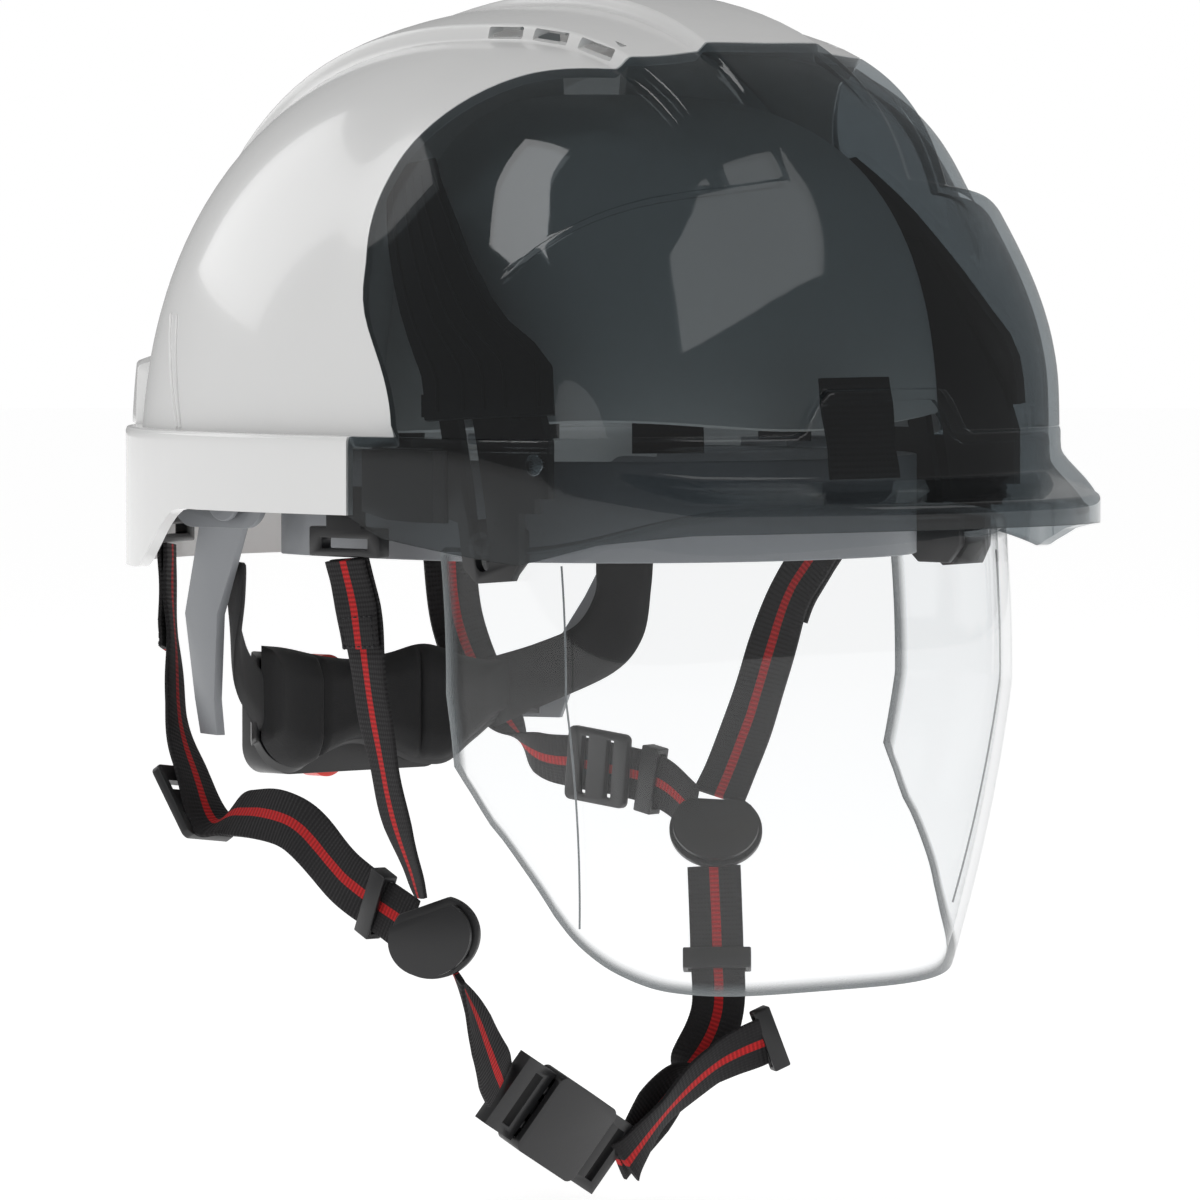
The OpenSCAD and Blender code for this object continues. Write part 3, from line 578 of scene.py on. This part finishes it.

# %% [markdown]
# The window is the same wall in smoke-tinted plastic. Its cut edge along the joint catches the light, but no point of
# it is marked in the attribute that the finish reads.

# %% Smoke window
def mark_painted_edge_shade(piece, is_edge):
    """Stores 1 on the points where is_edge(point in mm) holds, where the finish paints its edge shade."""
    layer = piece.data.attributes.new("cut_edge", "FLOAT", "POINT")
    values = [float(is_edge(v.co / MM)) for v in piece.data.vertices]
    layer.data.foreach_set("value", values)


window = wall_piece("window", False)
mark_painted_edge_shade(window, lambda p: False)
settle(window, "front_window")
print("window faces", len(window.data.polygons))

# %% [markdown]
# Behind the window stands a white inner wall, and the shield stows between the two.

# %% Inner wall
LINER_B, LINER_FRONT, LINER_TOP = 80.5, 82, 112


def liner_row(rise, deep):
    edge = np.array([cosd(rise), 0, sind(rise)])
    flange = edge * (dome_r(edge[None])[0] - WALL - 0.5)
    back = np.array([0, 2.5 if deep else 0, 0])
    t = np.arange(180, 361, 3.0)
    d = np.stack([cosd(t) * cosd(rise), sind(t) * cosd(rise), np.full(len(t), sind(rise))], -1)
    r = (oval(d[:, 0] / LINER_B, d[:, 1] / LINER_FRONT, 3.5) ** 3 + (np.abs(d[:, 2]) / LINER_TOP) ** 3) ** (-1 / 3)
    arc = d * (r - deep)[:, None]
    arc[[0, -1]] += back
    return np.concatenate([[np.array([-flange[0], 0, flange[2]]) + back], arc, [flange + back]])


rises = np.linspace(15, 84, 40)
liner = skin("inner_wall", [liner_row(e, 0) for e in rises], [liner_row(e, 2.5) for e in rises], 40)
settle(liner, "inner_liner")

# %% [markdown]
# The face shield is a boxy U in plan whose profile is bowed about the axis that it slides round.
# Its hem sweeps up from the chin to the temples. The cut edge all round is marked for the finish's painted edge shade.

# %% Face shield
VISOR_B, VISOR_T, VISOR_LOW, AXIS_Y, AXIS_Z = 88, 2.2, -129, 242, -45


def shield_rows(off):
    half = np.concatenate([[0.05, 0.3, 0.8, 1.5], np.linspace(2.5, 16, 9), np.linspace(18, 90, 37)])
    t = np.concatenate([half, 180 - half[-2::-1]])
    c, s = cosd(t), sind(t)
    x = (VISOR_B - off) * np.sign(c) * np.abs(c) ** 0.5
    y = -30 - (68 - off) * np.abs(s) ** 0.5
    brow = 2 - 12 * np.abs(x / VISOR_B) ** 4
    hem = VISOR_LOW + table(y, [(-98, 0), (-90, 3), (-80, 9), (-70, 17), (-60, 30), (-48, 42), (-38, 54), (-30, 64)])
    smooth = hem.copy()
    for _ in range(6):
        smooth[1:-1] = (smooth[:-2] + 2 * smooth[1:-1] + smooth[2:]) / 4
    rows = []
    for k in np.linspace(0, 1, 45):
        z = mix(brow, smooth, k)
        reach = AXIS_Y - y
        taper = 1 - 0.2 * np.maximum(0, -48 - z) / VISOR_B
        rows.append(np.stack([x * taper, AXIS_Y - np.sqrt(reach ** 2 - (z - AXIS_Z) ** 2), z], -1))
    return np.array(rows)


outside, inside = shield_rows(0), shield_rows(VISOR_T)
shield = skin("face_shield", outside, inside, 40)
rim_points = np.concatenate([np.concatenate([g[0], g[-1], g[:, 0], g[:, -1]]) for g in (outside, inside)])


def on_rim(point):
    return bool((np.abs(rim_points - np.array(point)).sum(1) < 0.02).any())


# painted shade: the cut edge all round renders as an opaque grey line
mark_painted_edge_shade(shield, on_rim)
settle(shield, "visor")

# %% [markdown]
# Most small fittings keep the shape of their plain node, and only need the soft edges of a moulding.
# softened() copies a node, merges its loose triangles into whole faces and rounds every sharp edge
# with a Bevel modifier.

# %% Softened fittings
def softened(node, width=0.45, segments=2, name=None):
    source = frame["nodes"][node]
    mesh = source.data.copy()
    mesh.name = name or node + "_moulded"
    work = bmesh.new()
    work.from_mesh(mesh)
    bmesh.ops.remove_doubles(work, verts=work.verts, dist=5e-6)
    bmesh.ops.dissolve_limit(work, angle_limit=math.radians(2), verts=work.verts, edges=work.edges)
    work.to_mesh(mesh)
    work.free()
    piece = bpy.data.objects.new(name or node + "_moulded", mesh)
    bpy.context.scene.collection.objects.link(piece)
    bevel = piece.modifiers.new("soft_edges", "BEVEL")
    bevel.width, bevel.segments, bevel.limit_method = width * MM, segments, "ANGLE"
    bevel.angle_limit, bevel.use_clamp_overlap, bevel.harden_normals = math.radians(32), True, False
    applied(piece)
    piece.data.shade_smooth()
    piece.data.set_sharp_from_angle(angle=math.radians(38))
    return settle(piece, node)


soft_nodes = {
    "visor_track_right": 0.5, "visor_track_left": 0.5, "track_screws": 0.3, "visor_carriage_right": 0.4,
    "visor_carriage_left": 0.4, "visor_bosses": 0.4, "headband": 0.4, "cradle_clips": 0.5, "cradle_studs": 0.4,
    "nape_arm_right": 0.5, "nape_arm_left": 0.5, "ratchet_housing": 0.8, "ratchet_pinion": 0.2,
    "ratchet_rack": 0.2, "ratchet_pawl": 0.3, "front_anchor_right": 0.6, "front_anchor_left": 0.6,
    "rear_anchor_right": 0.6, "rear_anchor_left": 0.6, "y_clip_right": 0.5, "y_clip_left": 0.5, "y_leaf_right": 0.5,
    "y_leaf_left": 0.5, "rear_adjuster_right": 0.5, "rear_adjuster_left": 0.5, "strap_keepers": 0.4,
    "buckle_male": 0.5, "buckle_prong_upper": 0.4, "buckle_prong_lower": 0.4, "buckle_female": 0.8, "tail_clip": 0.5,
}
for node, width in soft_nodes.items():
    softened(node, width)
print("softened", len(soft_nodes))

# %% [markdown]
# The webbing is swept along the chin strap's real route. A smooth curve through a few listed
# points gives the middle line, and each point also says which way the tape's width faces. The section
# is a flat oval, and a slow ripple keeps it from looking like sheet metal.

# %% Webbing
WEB_W, WEB_T = 15.0, 1.6
routes = {
    "front_strap_right": (
        [[-94, -1, -12.5], [-91, -2, -25], [-89, -3, -40], [-85.5, -3, -60], [-79.5, -5, -85], [-75, -9, -104]],
        [[0, 1, 0], [0, 1, 0], [0.1, 1, 0], [0.2, 1, 0], [0.3, 1, 0], [0.5, 0.8, 0.1]]),
    "front_strap_left": (
        [[94, 3, -12.5], [91, 12, -26], [87.5, 17, -42], [80, 20, -66], [68, 19, -84]],
        [[0, 1, 0], [-0.1, 1, 0], [-0.3, 1, 0], [-0.5, 1, 0], [-0.7, 0.8, 0]]),
    "rear_strap_right": (
        [[-54, 113, -12.5], [-55, 111, -38], [-58, 106, -58], [-62, 96, -74], [-65, 84, -88], [-66, 72, -85],
         [-68, 48, -87], [-70, 25, -101], [-72, -1, -112]],
        [[0.8, 0.6, 0], [0.8, 0.6, 0], [0.9, 0.5, 0], [1, 0.3, 0], [1, 0, 0.2], [0.6, 0.2, 0.8], [0.3, 0.1, 1],
         [0.2, -0.2, 1], [0.2, -0.5, 1]]),
    "rear_strap_left": (
        [[54, 113, -12.5], [55, 110, -38], [60, 101, -60], [64.5, 88, -74], [65.5, 72, -76.5], [66, 56, -78],
         [67, 41, -81], [66, 27, -88]],
        [[-0.8, 0.6, 0], [-0.8, 0.6, 0], [-0.9, 0.3, 0.2], [-0.4, 0.4, 0.9], [-0.1, 0.2, 1], [-0.1, 0.2, 1],
         [-0.1, -0.2, 1], [-0.2, -0.5, 1]]),
    "lower_strap_right": (
        [[-69, -16, -124], [-64, -15, -132], [-56, -12.5, -142], [-47.5, -9, -151.5], [-41, -4.3, -156.6]],
        [[0.5, 0.8, 0.1], [0.7, 0.7, 0.4], [0.8, 0.3, 0.6], [0.7, 0, 0.8], [0.42, -0.1, 0.9]]),
    "lower_strap_left": (
        [[61, 14, -103], [57, 9, -125], [52, 4, -143], [42, 3, -156], [27, 4, -169], [13, 3.8, -182]],
        [[-0.7, 0.8, 0], [-0.75, 0.7, 0], [-0.8, 0.5, 0.1], [-0.7, 0.2, -0.6], [-0.4, 0, -0.9], [-0.42, 0.1, -0.9]]),
    "tail_strap": (
        [[12, 0.2, -182], [27, -2, -167], [41, -6, -156], [54, -12, -150]],
        [[-0.42, 0.1, -0.9], [-0.4, 0.4, -0.9], [-0.2, 0.5, -0.9], [-0.1, 0.4, -0.9]]),
}


def unit_rows(v):
    return v / (np.linalg.norm(v, axis=-1, keepdims=True) + 1e-12)


def tape_line(places, widths, parts=24):
    """Middle points, width directions and facing directions along a route."""
    r, w = np.array(places, float), np.array(widths, float)
    middle, across = [], []
    for i in range(len(r) - 1):
        a, b, c, d = r[max(i - 1, 0)], r[i], r[i + 1], r[min(i + 2, len(r) - 1)]
        last = i == len(r) - 2
        for k in np.arange(parts + (1 if last else 0)) / parts:
            middle.append(0.5 * (2 * b + (c - a) * k + (2 * a - 5 * b + 4 * c - d) * k ** 2
                                 + (3 * b - 3 * c + d - a) * k ** 3))
            across.append(mix(w[i], w[i + 1], k))
    middle, across = np.array(middle), unit_rows(np.array(across))
    run = unit_rows(np.gradient(middle, axis=0))
    side = unit_rows(across - run * (across * run).sum(-1, keepdims=True))
    return middle, side, np.cross(run, side)


def tape(name, middle, side, face, width=WEB_W, thick=WEB_T, ripple=0.35, phase=0.0):
    turns = np.concatenate([np.linspace(-82, 82, 15), np.linspace(98, 262, 15)])
    ring_x = np.sign(sind(turns)) * np.abs(sind(turns)) ** 0.9 * width / 2
    ring_z = np.sign(cosd(turns)) * np.abs(cosd(turns)) ** 0.35 * thick / 2
    step = np.linalg.norm(np.diff(middle, axis=0), axis=-1)
    along = np.concatenate([[0], np.cumsum(step)])
    ends = ease(0, 9, along) * ease(along[-1], along[-1] - 9, along)
    wave = ripple * np.sin(along / 6.3 + phase) * ends
    lean = 0.05 * np.sin(along / 4.1 + 2 * phase) * ends
    points = (middle[:, None] + side[:, None] * ring_x[None, :, None]
              + face[:, None] * (ring_z[None, :] + wave[:, None] + lean[:, None] * ring_x[None, :] / 1.5)[..., None])
    rows, cols = points.shape[:2]
    faces, uvs = [], []
    u = ring_x / width + 0.5
    for i in range(rows - 1):
        for j in range(cols):
            n = (j + 1) % cols
            faces.append((i * cols + j, i * cols + n, (i + 1) * cols + n, (i + 1) * cols + j))
            uvs.append(((u[j], along[i]), (u[n], along[i]), (u[n], along[i + 1]), (u[j], along[i + 1])))
    faces.append(tuple(range(cols))[::-1])
    uvs.append(tuple((u[j], along[0]) for j in range(cols))[::-1])
    faces.append(tuple((rows - 1) * cols + j for j in range(cols)))
    uvs.append(tuple((u[j], along[-1]) for j in range(cols)))
    mesh = bpy.data.meshes.new(name)
    mesh.from_pydata([tuple(p) for p in points.reshape(-1, 3) * MM], [], faces)
    layer = mesh.uv_layers.new(name="tape")
    layer.data.foreach_set("uv", [c for face_uv in uvs for x, y in face_uv for c in (x, y * MM)])
    work = bmesh.new()
    work.from_mesh(mesh)
    if work.calc_volume(signed=True) < 0:
        bmesh.ops.reverse_faces(work, faces=work.faces)
    work.to_mesh(mesh)
    work.free()
    mesh.shade_smooth()
    mesh.set_sharp_from_angle(angle=math.radians(60))
    piece = bpy.data.objects.new(name, mesh)
    bpy.context.scene.collection.objects.link(piece)
    return piece


for number, (node, (places, widths)) in enumerate(routes.items()):
    line = tape_line(places, widths)
    strap = tape(node + "_webbing", *line, phase=number * 1.3, ripple=0.0 if node == "tail_strap" else 0.3)
    if node == "lower_strap_right":
        paint(strap, "webbing_black")
        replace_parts(strap, node)
        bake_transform(strap)
    else:
        settle(strap, node)
    print(node, "length mm", round(float(np.linalg.norm(np.diff(line[0], axis=0), axis=-1).sum()), 1))

# %% [markdown]
# Where a strap comes back through its anchor it is doubled, and the second layer is sewn down with
# rows of thread. Geometry Nodes set the stitches: the path becomes a curve, points are spaced along
# it, and a short thread is placed on each.

# %% Stitches and beads by Geometry Nodes
def new_tree(name, inputs):
    tree = bpy.data.node_groups.new(name, "GeometryNodeTree")
    graph = Graph(tree)
    tree.interface.new_socket("Geometry", in_out="INPUT", socket_type="NodeSocketGeometry")
    for label, kind in inputs:
        tree.interface.new_socket(label, in_out="INPUT", socket_type=kind)
    tree.interface.new_socket("Geometry", in_out="OUTPUT", socket_type="NodeSocketGeometry")
    group = tree.nodes.new("NodeGroupInput")
    return tree, graph, {socket.name: Wire(graph, socket) for socket in group.outputs}


def finish_tree(graph, shape, given):
    real = graph.node("GeometryNodeRealizeInstances", {}, {"Geometry": shape})
    painted = graph.node("GeometryNodeSetMaterial", {}, {"Geometry": real, "Material": given["Material"]})
    graph.node("NodeGroupOutput", {}, {"Geometry": painted})


stitch_tree, graph, given = new_tree("stitch_row", [
    ("Spacing", "NodeSocketFloat"), ("Length", "NodeSocketFloat"),
    ("Thread", "NodeSocketFloat"), ("Material", "NodeSocketMaterial")])
path = graph.node("GeometryNodeMeshToCurve", {}, {"Mesh": given["Geometry"]})
spaced = graph.node("GeometryNodeResampleCurve", {"mode": "LENGTH"},
                    {"Curve": path, "Length": given["Spacing"]})
thread = graph.node("GeometryNodeMeshCylinder", {}, {"Vertices": 6, "Radius": given["Thread"],
                                                     "Depth": given["Length"]})
tangent = graph.node("GeometryNodeInputTangent")
turn = graph.node("FunctionNodeAlignRotationToVector", {"axis": "Z"}, {"Vector": tangent})
rows = graph.node("GeometryNodeInstanceOnPoints", {},
                  {"Points": spaced, "Instance": thread, "Rotation": turn})
finish_tree(graph, rows, given)

bead_tree, graph, given = new_tree("bead", [
    ("Radius", "NodeSocketFloat"), ("Material", "NodeSocketMaterial")])
path = graph.node("GeometryNodeMeshToCurve", {}, {"Mesh": given["Geometry"]})
section = graph.node("GeometryNodeCurvePrimitiveCircle", {}, {"Resolution": 8, "Radius": given["Radius"]})
beads = graph.node("GeometryNodeCurveToMesh", {},
                   {"Curve": path, "Profile Curve": section, "Fill Caps": True})
finish_tree(graph, beads, given)


def along_paths(name, tree, paths, body, slot, **sizes):
    """Runs a tree on polylines given in mm, and keeps the result as one plain mesh."""
    points, edges = [], []
    for line in paths:
        edges += [(len(points) + k, len(points) + k + 1) for k in range(len(line) - 1)]
        points += [tuple(p) for p in np.asarray(line, float) * MM]
    mesh = bpy.data.meshes.new(name)
    mesh.from_pydata(points, edges, [])
    piece = bpy.data.objects.new(name, mesh)
    bpy.context.scene.collection.objects.link(piece)
    maker = piece.modifiers.new(tree.name, "NODES")
    maker.node_group = tree
    inputs = {item.name: item.identifier for item in tree.interface.items_tree if item.in_out == "INPUT"}
    for label, value in sizes.items():
        maker[inputs[label]] = value * MM
    maker[inputs["Material"]] = finishes[slot]
    applied(piece)
    piece.data.shade_smooth()
    return extra(piece, body, slot)


FOLD_GAP = WEB_T + 0.15          # middle of the second layer from the middle of the first
FOLD_SKIN = 0.72                 # outer face of the second layer from its middle
STITCH_HALF = 6.2                # half the distance between the two long rows of stitches

for node, drop in (("front_strap_right", 25), ("front_strap_left", 25), ("rear_strap_right", 30),
                   ("rear_strap_left", 30)):
    middle, side, face = tape_line(*routes[node])
    outward = np.sign((face * middle * [1, 1, 0]).sum(-1, keepdims=True))
    along = np.concatenate([[0], np.cumsum(np.linalg.norm(np.diff(middle, axis=0), axis=-1))])
    keep = along < drop
    layer = middle + face * outward * FOLD_GAP
    fold = tape(node + "_fold", layer[keep], side[keep], face[keep], phase=0.8, ripple=0.15)
    extra(fold, "shell", "webbing_black")
    skin_line = layer + face * outward * FOLD_SKIN
    sewn = (along > drop - 9) & (along < drop - 1)
    rows = [skin_line[sewn] + side[sewn] * x for x in (-STITCH_HALF, STITCH_HALF)]
    for edge in (drop - 9, drop - 1.2):
        k = int(np.argmin(np.abs(along - edge)))
        rows.append([skin_line[k] + side[k] * x for x in np.linspace(-STITCH_HALF, STITCH_HALF, 9)])
    along_paths(node + "_stitches", stitch_tree, rows, "shell", "textile_black",
                Spacing=1.9, Length=1.4, Thread=0.22)

# %% [markdown]
# Two textile straps cross over the head, and a round pad sits where they meet.

# %% Crown straps
for node, start, height in (("crown_strap_side", (75.5, 0, 0), 78), ("crown_strap_long", (38, 66, 0), 74.5)):
    turns = np.linspace(0, 180, 61)
    out = np.array(start, float)
    middle = out * cosd(turns)[:, None] + np.stack([0 * turns, 0 * turns, 16 + height * sind(turns)], -1)
    run = unit_rows(np.gradient(middle, axis=0))
    side = np.tile(unit_rows(np.array([-out[1], out[0], 0.0])), (len(turns), 1))
    face = np.cross(run, side)
    middle = middle - unit_rows(middle * [1, 1, 0.9]) * 0.7
    settle(tape(node + "_textile", middle, side, face, width=20, thick=1.4, ripple=0.0), node)

# %% [markdown]
# Foam pads are closed, crowned forms. Each is a curved slab whose thickness falls away to its border,
# swept round the same plan outline as the band it lies on.

# %% Pads
def band_xy(t, off):
    r = 1 / oval(cosd(t) / 80, sind(t) / np.where(sind(t) < 0, 88, 100), 2.3) - off
    return np.stack([r * cosd(t), r * sind(t)], -1)


def nape_xy(t, off):
    r = 1 / oval(cosd(t) / 64, sind(t) / 42, 2.6) - off
    return np.stack([r * cosd(t), 52 + r * sind(t)], -1)


def foam(name, outline, turns, back, front, top, bottom, rows=22, crown=0.35, channels=()):
    """A slab between offsets back and front of an outline, thinner towards its four borders."""
    t = np.linspace(*turns)
    outer, inner = [], []
    for k in np.linspace(0, 1, rows):
        z = mix(top(t), bottom(t), k)
        border = np.minimum(np.minimum(k, 1 - k) * rows / 5,
                            np.minimum(np.arange(len(t)), np.arange(len(t))[::-1]) / 4)
        full = np.clip(border, 0, 1) ** crown
        for mark in channels:
            full = full * (1 - 0.35 * np.exp(-((t - mark) / 1.1) ** 2))
        middle = back + 0.3
        outer.append(np.concatenate([outline(t, mix(middle, back, full)[:, None]
                                             if np.ndim(full) else back), z[:, None]], -1))
        inner.append(np.concatenate([outline(t, mix(middle, front, full)[:, None]), z[:, None]], -1))
    return skin(name, outer, inner, 50)


def outline_of(rule):
    def points(t, off):
        return rule(t, np.asarray(off)[..., 0])
    return points


sweatband = foam("front_sweatband_pad", outline_of(band_xy), (222, 318, 70), 2.05, 6.5,
                 lambda t: 12.5 + 0 * t, lambda t: -12 + 0 * t, channels=(246, 270, 294))
settle(sweatband, "front_sweatband")
PAD_TOP = [(32, -47), (38, -47), (60, -42), (75, -44), (92, -45.5), (110, -44.5), (135, -41), (148, -40)]
PAD_LOW = [(32, -61), (42, -68), (50, -74), (60, -74.5), (75, -70.8), (95, -68), (110, -70.8), (125, -75), (140, -71),
           (148, -66)]
pad = foam("nape_pad_foam", outline_of(nape_xy), (32, 148, 90), 2.05, 7, lambda t: smooth_table(t, PAD_TOP),
           lambda t: smooth_table(t, PAD_LOW), channels=(62, 118))
settle(pad, "nape_pad")
cradle = foam("nape_cradle_shell", outline_of(nape_xy), (25, 155, 90), 0, 1.9,
              lambda t: smooth_table(t, PAD_TOP) - 1.5, lambda t: smooth_table(t, PAD_LOW) - 1.4, crown=0.15)
settle(cradle, "nape_cradle")

# %% [markdown]
# The pad runs on into two padded wings that rise inside the grey arms, up to the headband. Each wing
# is a slab between a lower and an upper curve through a few points.

# %% Nape wings
def through(points, count=40):
    """A smooth curve through points, with Catmull-Rom slopes."""
    return tape_line(points, [[0, 0, 1]] * len(points), parts=count // (len(points) - 1))[0]


low_line = through([[46, 85.5, -66], [57, 77, -60], [73, 65.5, -51], [79, 60, -41], [79.3, 57, -27],
                    [79.3, 56, -15.5]])
top_line = through([[46, 85.5, -46], [56, 79, -42.5], [65, 72.5, -37.5], [70.3, 70.3, -29], [71.5, 71, -22],
                    [71.8, 71.5, -15.5]])
for side in (-1, 1):
    outer_rows, inner_rows = [], []
    for k in np.linspace(0, 1, 13):
        line = mix(low_line, top_line, k)
        inward = unit_rows(np.stack([-line[:, 0], 40 - line[:, 1], 0 * line[:, 0]], -1))
        ends = np.minimum(np.arange(len(line)), np.arange(len(line))[::-1]) / 3
        full = np.clip(np.minimum(min(k, 1 - k) * 5, ends), 0, 1) ** 0.5
        outer_rows.append((line - inward * (0.25 + 0.75 * full)[:, None]) * [side, 1, 1])
        inner_rows.append((line + inward * (0.25 + 1.9 * full)[:, None]) * [side, 1, 1])
    wing = skin(f"nape_wing_{'left' if side > 0 else 'right'}", outer_rows, inner_rows, 50)
    extra(wing, "nape", "pad_black")

ring = np.linspace(0, 360, 73)[:-1]
crown_rows = []
for height, spread_mm in [(4.5, 2), (4.6, 9), (3.4, 10.5), (4.6, 12), (4.2, 20), (2.9, 21.5), (3.6, 23), (2.6, 28),
                          (1.0, 29.8), (-0.6, 29.9), (-2.6, 28), (-4.0, 18), (-4.4, 6)]:
    crown_rows.append(np.stack([spread_mm * cosd(ring), spread_mm * sind(ring), 0 * ring + 82 + height], -1))
count = len(ring)
crown_faces = [(i * count + j, i * count + (j + 1) % count, (i + 1) * count + (j + 1) % count, (i + 1) * count + j)
               for i in range(len(crown_rows) - 1) for j in range(count)]
crown_faces += [tuple(range(count))[::-1], tuple((len(crown_rows) - 1) * count + j for j in range(count))]
crown_pad = solid("crown_pad_foam", np.concatenate(crown_rows), crown_faces, 60)
settle(crown_pad, "crown_pad")

# %% [markdown]
# A textile tab hangs over the front of the headband, behind the window's arch.

# %% Front tab
zs = np.linspace(36, 9, 30)
tab_middle = np.stack([0 * zs, -97.9 - (36 - zs) * 0.16, zs], -1)
tab_run = unit_rows(np.gradient(tab_middle, axis=0))
tab_side = np.tile([1.0, 0, 0], (len(zs), 1))
settle(tape("front_tab_textile", tab_middle, tab_side, np.cross(tab_run, tab_side), width=27, thick=1.4,
            ripple=0.0), "front_strap_tab")

# %% [markdown]
# The ratchet knob is a disc with eight lobes for the fingers. One ring of points whose radius swells
# eight times round is stacked at a few heights, which gives soft lobes and a dished face.

# %% Ratchet knob
low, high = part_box("ratchet_knob")
knob_y0, knob_z = low.y / MM, (low.z + high.z) / 2 / MM
turns = np.linspace(0, 360, 193)[:-1]
lobes = 15.4 + 1.75 * np.abs(cosd(4 * turns)) ** 0.7
profile = [(1.2, 0.0, 0.0), (0.0, 0.8, 0.0), (0.0, 7.4, 0.0), (0.5, 8.5, 0.0), (1.6, 9.0, 0.0), (4.0, 9.0, 0.3),
           (5.2, 7.8, 1.0), (9.0, 7.4, 1.0), (14.6, 7.2, 1.0)]
rings = []
for inset, depth, roundness in profile:
    radius = mix(lobes, 15.4, roundness) - inset
    rings.append(np.stack([radius * cosd(turns), 0 * turns + knob_y0 + depth, knob_z + radius * sind(turns)], -1))
for radius, depth in ((3.9, 7.0), (3.9, 0.0)):
    rings.append(np.stack([radius * cosd(turns), 0 * turns + knob_y0 + min(depth, 7.0), knob_z + radius * sind(turns)],
                          -1))
cap = rings[:9]
hole = rings[9:]
count = len(turns)
stack = [hole[1], cap[0]] + cap[1:]
knob_faces = []
order = [hole[0], hole[1]] + cap
for i in range(len(order) - 1):
    for j in range(count):
        n = (j + 1) % count
        knob_faces.append((i * count + j, i * count + n, (i + 1) * count + n, (i + 1) * count + j))
knob_faces += [tuple(range(count))[::-1], tuple((len(order) - 1) * count + j for j in range(count))]
knob = solid("ratchet_knob_lobed", np.concatenate(order), knob_faces, 40)
settle(knob, "ratchet_knob")

# %% [markdown]
# Fine raised lines finish the mouldings: a double rib low on each side of the shell, short ribs on the
# block at the back, lengthwise ribs on the black frames behind the window, and a crease down each side
# of the shield. All are beads laid half into their surface by one small node tree.

# %% Raised lines
surface = BVHTree.FromPolygons([v.co.copy() for v in shell.data.vertices],
                               [tuple(f.vertices) for f in shell.data.polygons])


def on_shell(points, direction):
    """Drops each point (mm) onto the shell along a direction."""
    found = []
    for point in points:
        hit = surface.ray_cast(Vector(point) * MM, Vector(direction))[0]
        if hit is not None:
            found.append(np.array(hit) / MM)
    return found


shell_lines = []
for side in (-1, 1):
    for shift_low, shift_top in ((-1.0, -2.6), (1.0, 2.6)):
        shell_lines.append(on_shell([(side * 160, mix(59, 71.5, k) + mix(shift_low, shift_top, k), mix(21.6, 52, k))
                                     for k in np.linspace(0, 1, 24)], (-side, 0, 0)))
for x in (-34, -30.5, 30.5, 34):
    shell_lines.append(on_shell([(x, 200, z) for z in np.linspace(24, 38, 12)], (0, -1, 0)))
along_paths("shell_ribs", bead_tree, shell_lines, "shell", "shell_white", Radius=0.55)

TRACK_REAR = [(11, 21), (18, 20.5), (29, 14), (38, 9), (48.5, 3)]
TRACK_FRONT = [(11, 40), (20, 39.5), (25.5, 32.5), (27.5, 31), (40, 22), (48.5, 14.5)]
for side in (-1, 1):
    frame_lines = []
    for share in (0.12, 0.34, 0.5, 0.66, 0.9):
        e = np.linspace(14, 46, 40)
        t = mix(table(e, TRACK_REAR), table(e, TRACK_FRONT), share)
        d = np.stack([side * cosd(t) * cosd(e), -sind(t) * cosd(e), sind(e)], -1)
        frame_lines.append(d * (dome_r(d) - WALL - 0.75)[:, None])
    along_paths(f"frame_ribs_{'left' if side > 0 else 'right'}", bead_tree, frame_lines, "shell", "fittings_black",
                Radius=0.5)

crease_lines = [outside[2:-2, column] for column in (16, outside.shape[1] - 17)]
creases = along_paths("shield_creases", bead_tree, crease_lines, "visor", "shield_clear", Radius=0.28)
# painted shade: every point of the crease beads is marked, so they render as opaque grey lines on the clear shield
mark_painted_edge_shade(creases, lambda p: True)

# %% [markdown]
# Plain studio: a wide pale floor, an even bright sky and three large soft lights.

# %% Studio
floor_mesh = bpy.data.meshes.new("floor")
floor_work = bmesh.new()
bmesh.ops.create_circle(floor_work, cap_ends=True, radius=9.0, segments=64)
floor_work.to_mesh(floor_mesh)
floor_work.free()
floor = bpy.data.objects.new("floor", floor_mesh)
floor.location.z = cad_box[0][2] - 0.002
bpy.context.scene.collection.objects.link(floor)
floor_material, floor_graph, floor_place = new_finish("studio_floor")
floor_shader = floor_graph.node("ShaderNodeBsdfPrincipled", {}, {
    "Base Color": rgb(0.5, 0.5, 0.5), "Roughness": floor_graph.noise(floor_place, 3.0) * 0.05 + 0.75,
    "Emission Color": rgb(1.0, 1.0, 1.0), "Emission Strength": 0.8})
floor_graph.node("ShaderNodeOutputMaterial", {}, {"Surface": floor_shader})
floor.data.materials.append(floor_material)

world = bpy.data.worlds.new("studio")
bpy.context.scene.world = world
world.use_nodes = True
sky = Graph(world.node_tree)
seen = sky.node("ShaderNodeLightPath", out="Is Camera Ray")
sky_light = sky.node("ShaderNodeBackground", {}, {
    "Color": rgb(1.0, 1.0, 1.0), "Strength": seen * 0.66 + 0.34})
sky.node("ShaderNodeOutputWorld", {}, {"Surface": sky_light})
bpy.context.scene.view_settings.view_transform = "Standard"


def soft_light(name, place, size, watts):
    data = bpy.data.lights.new(name, "AREA")
    data.shape, data.size, data.size_y, data.energy = "RECTANGLE", size[0], size[1], watts
    lamp = bpy.data.objects.new(name, data)
    lamp.location = place
    lamp.rotation_euler = (-Vector(place)).to_track_quat("-Z", "Y").to_euler()
    bpy.context.scene.collection.objects.link(lamp)


soft_light("key_light", (-1.2, 0.03, 1.7), (0.8, 0.8), 9)
soft_light("front_light", (0.9, -2.0, 1.3), (1.6, 1.2), 9)
soft_light("back_light", (-0.6, 2.2, 1.2), (1.6, 1.2), 9)
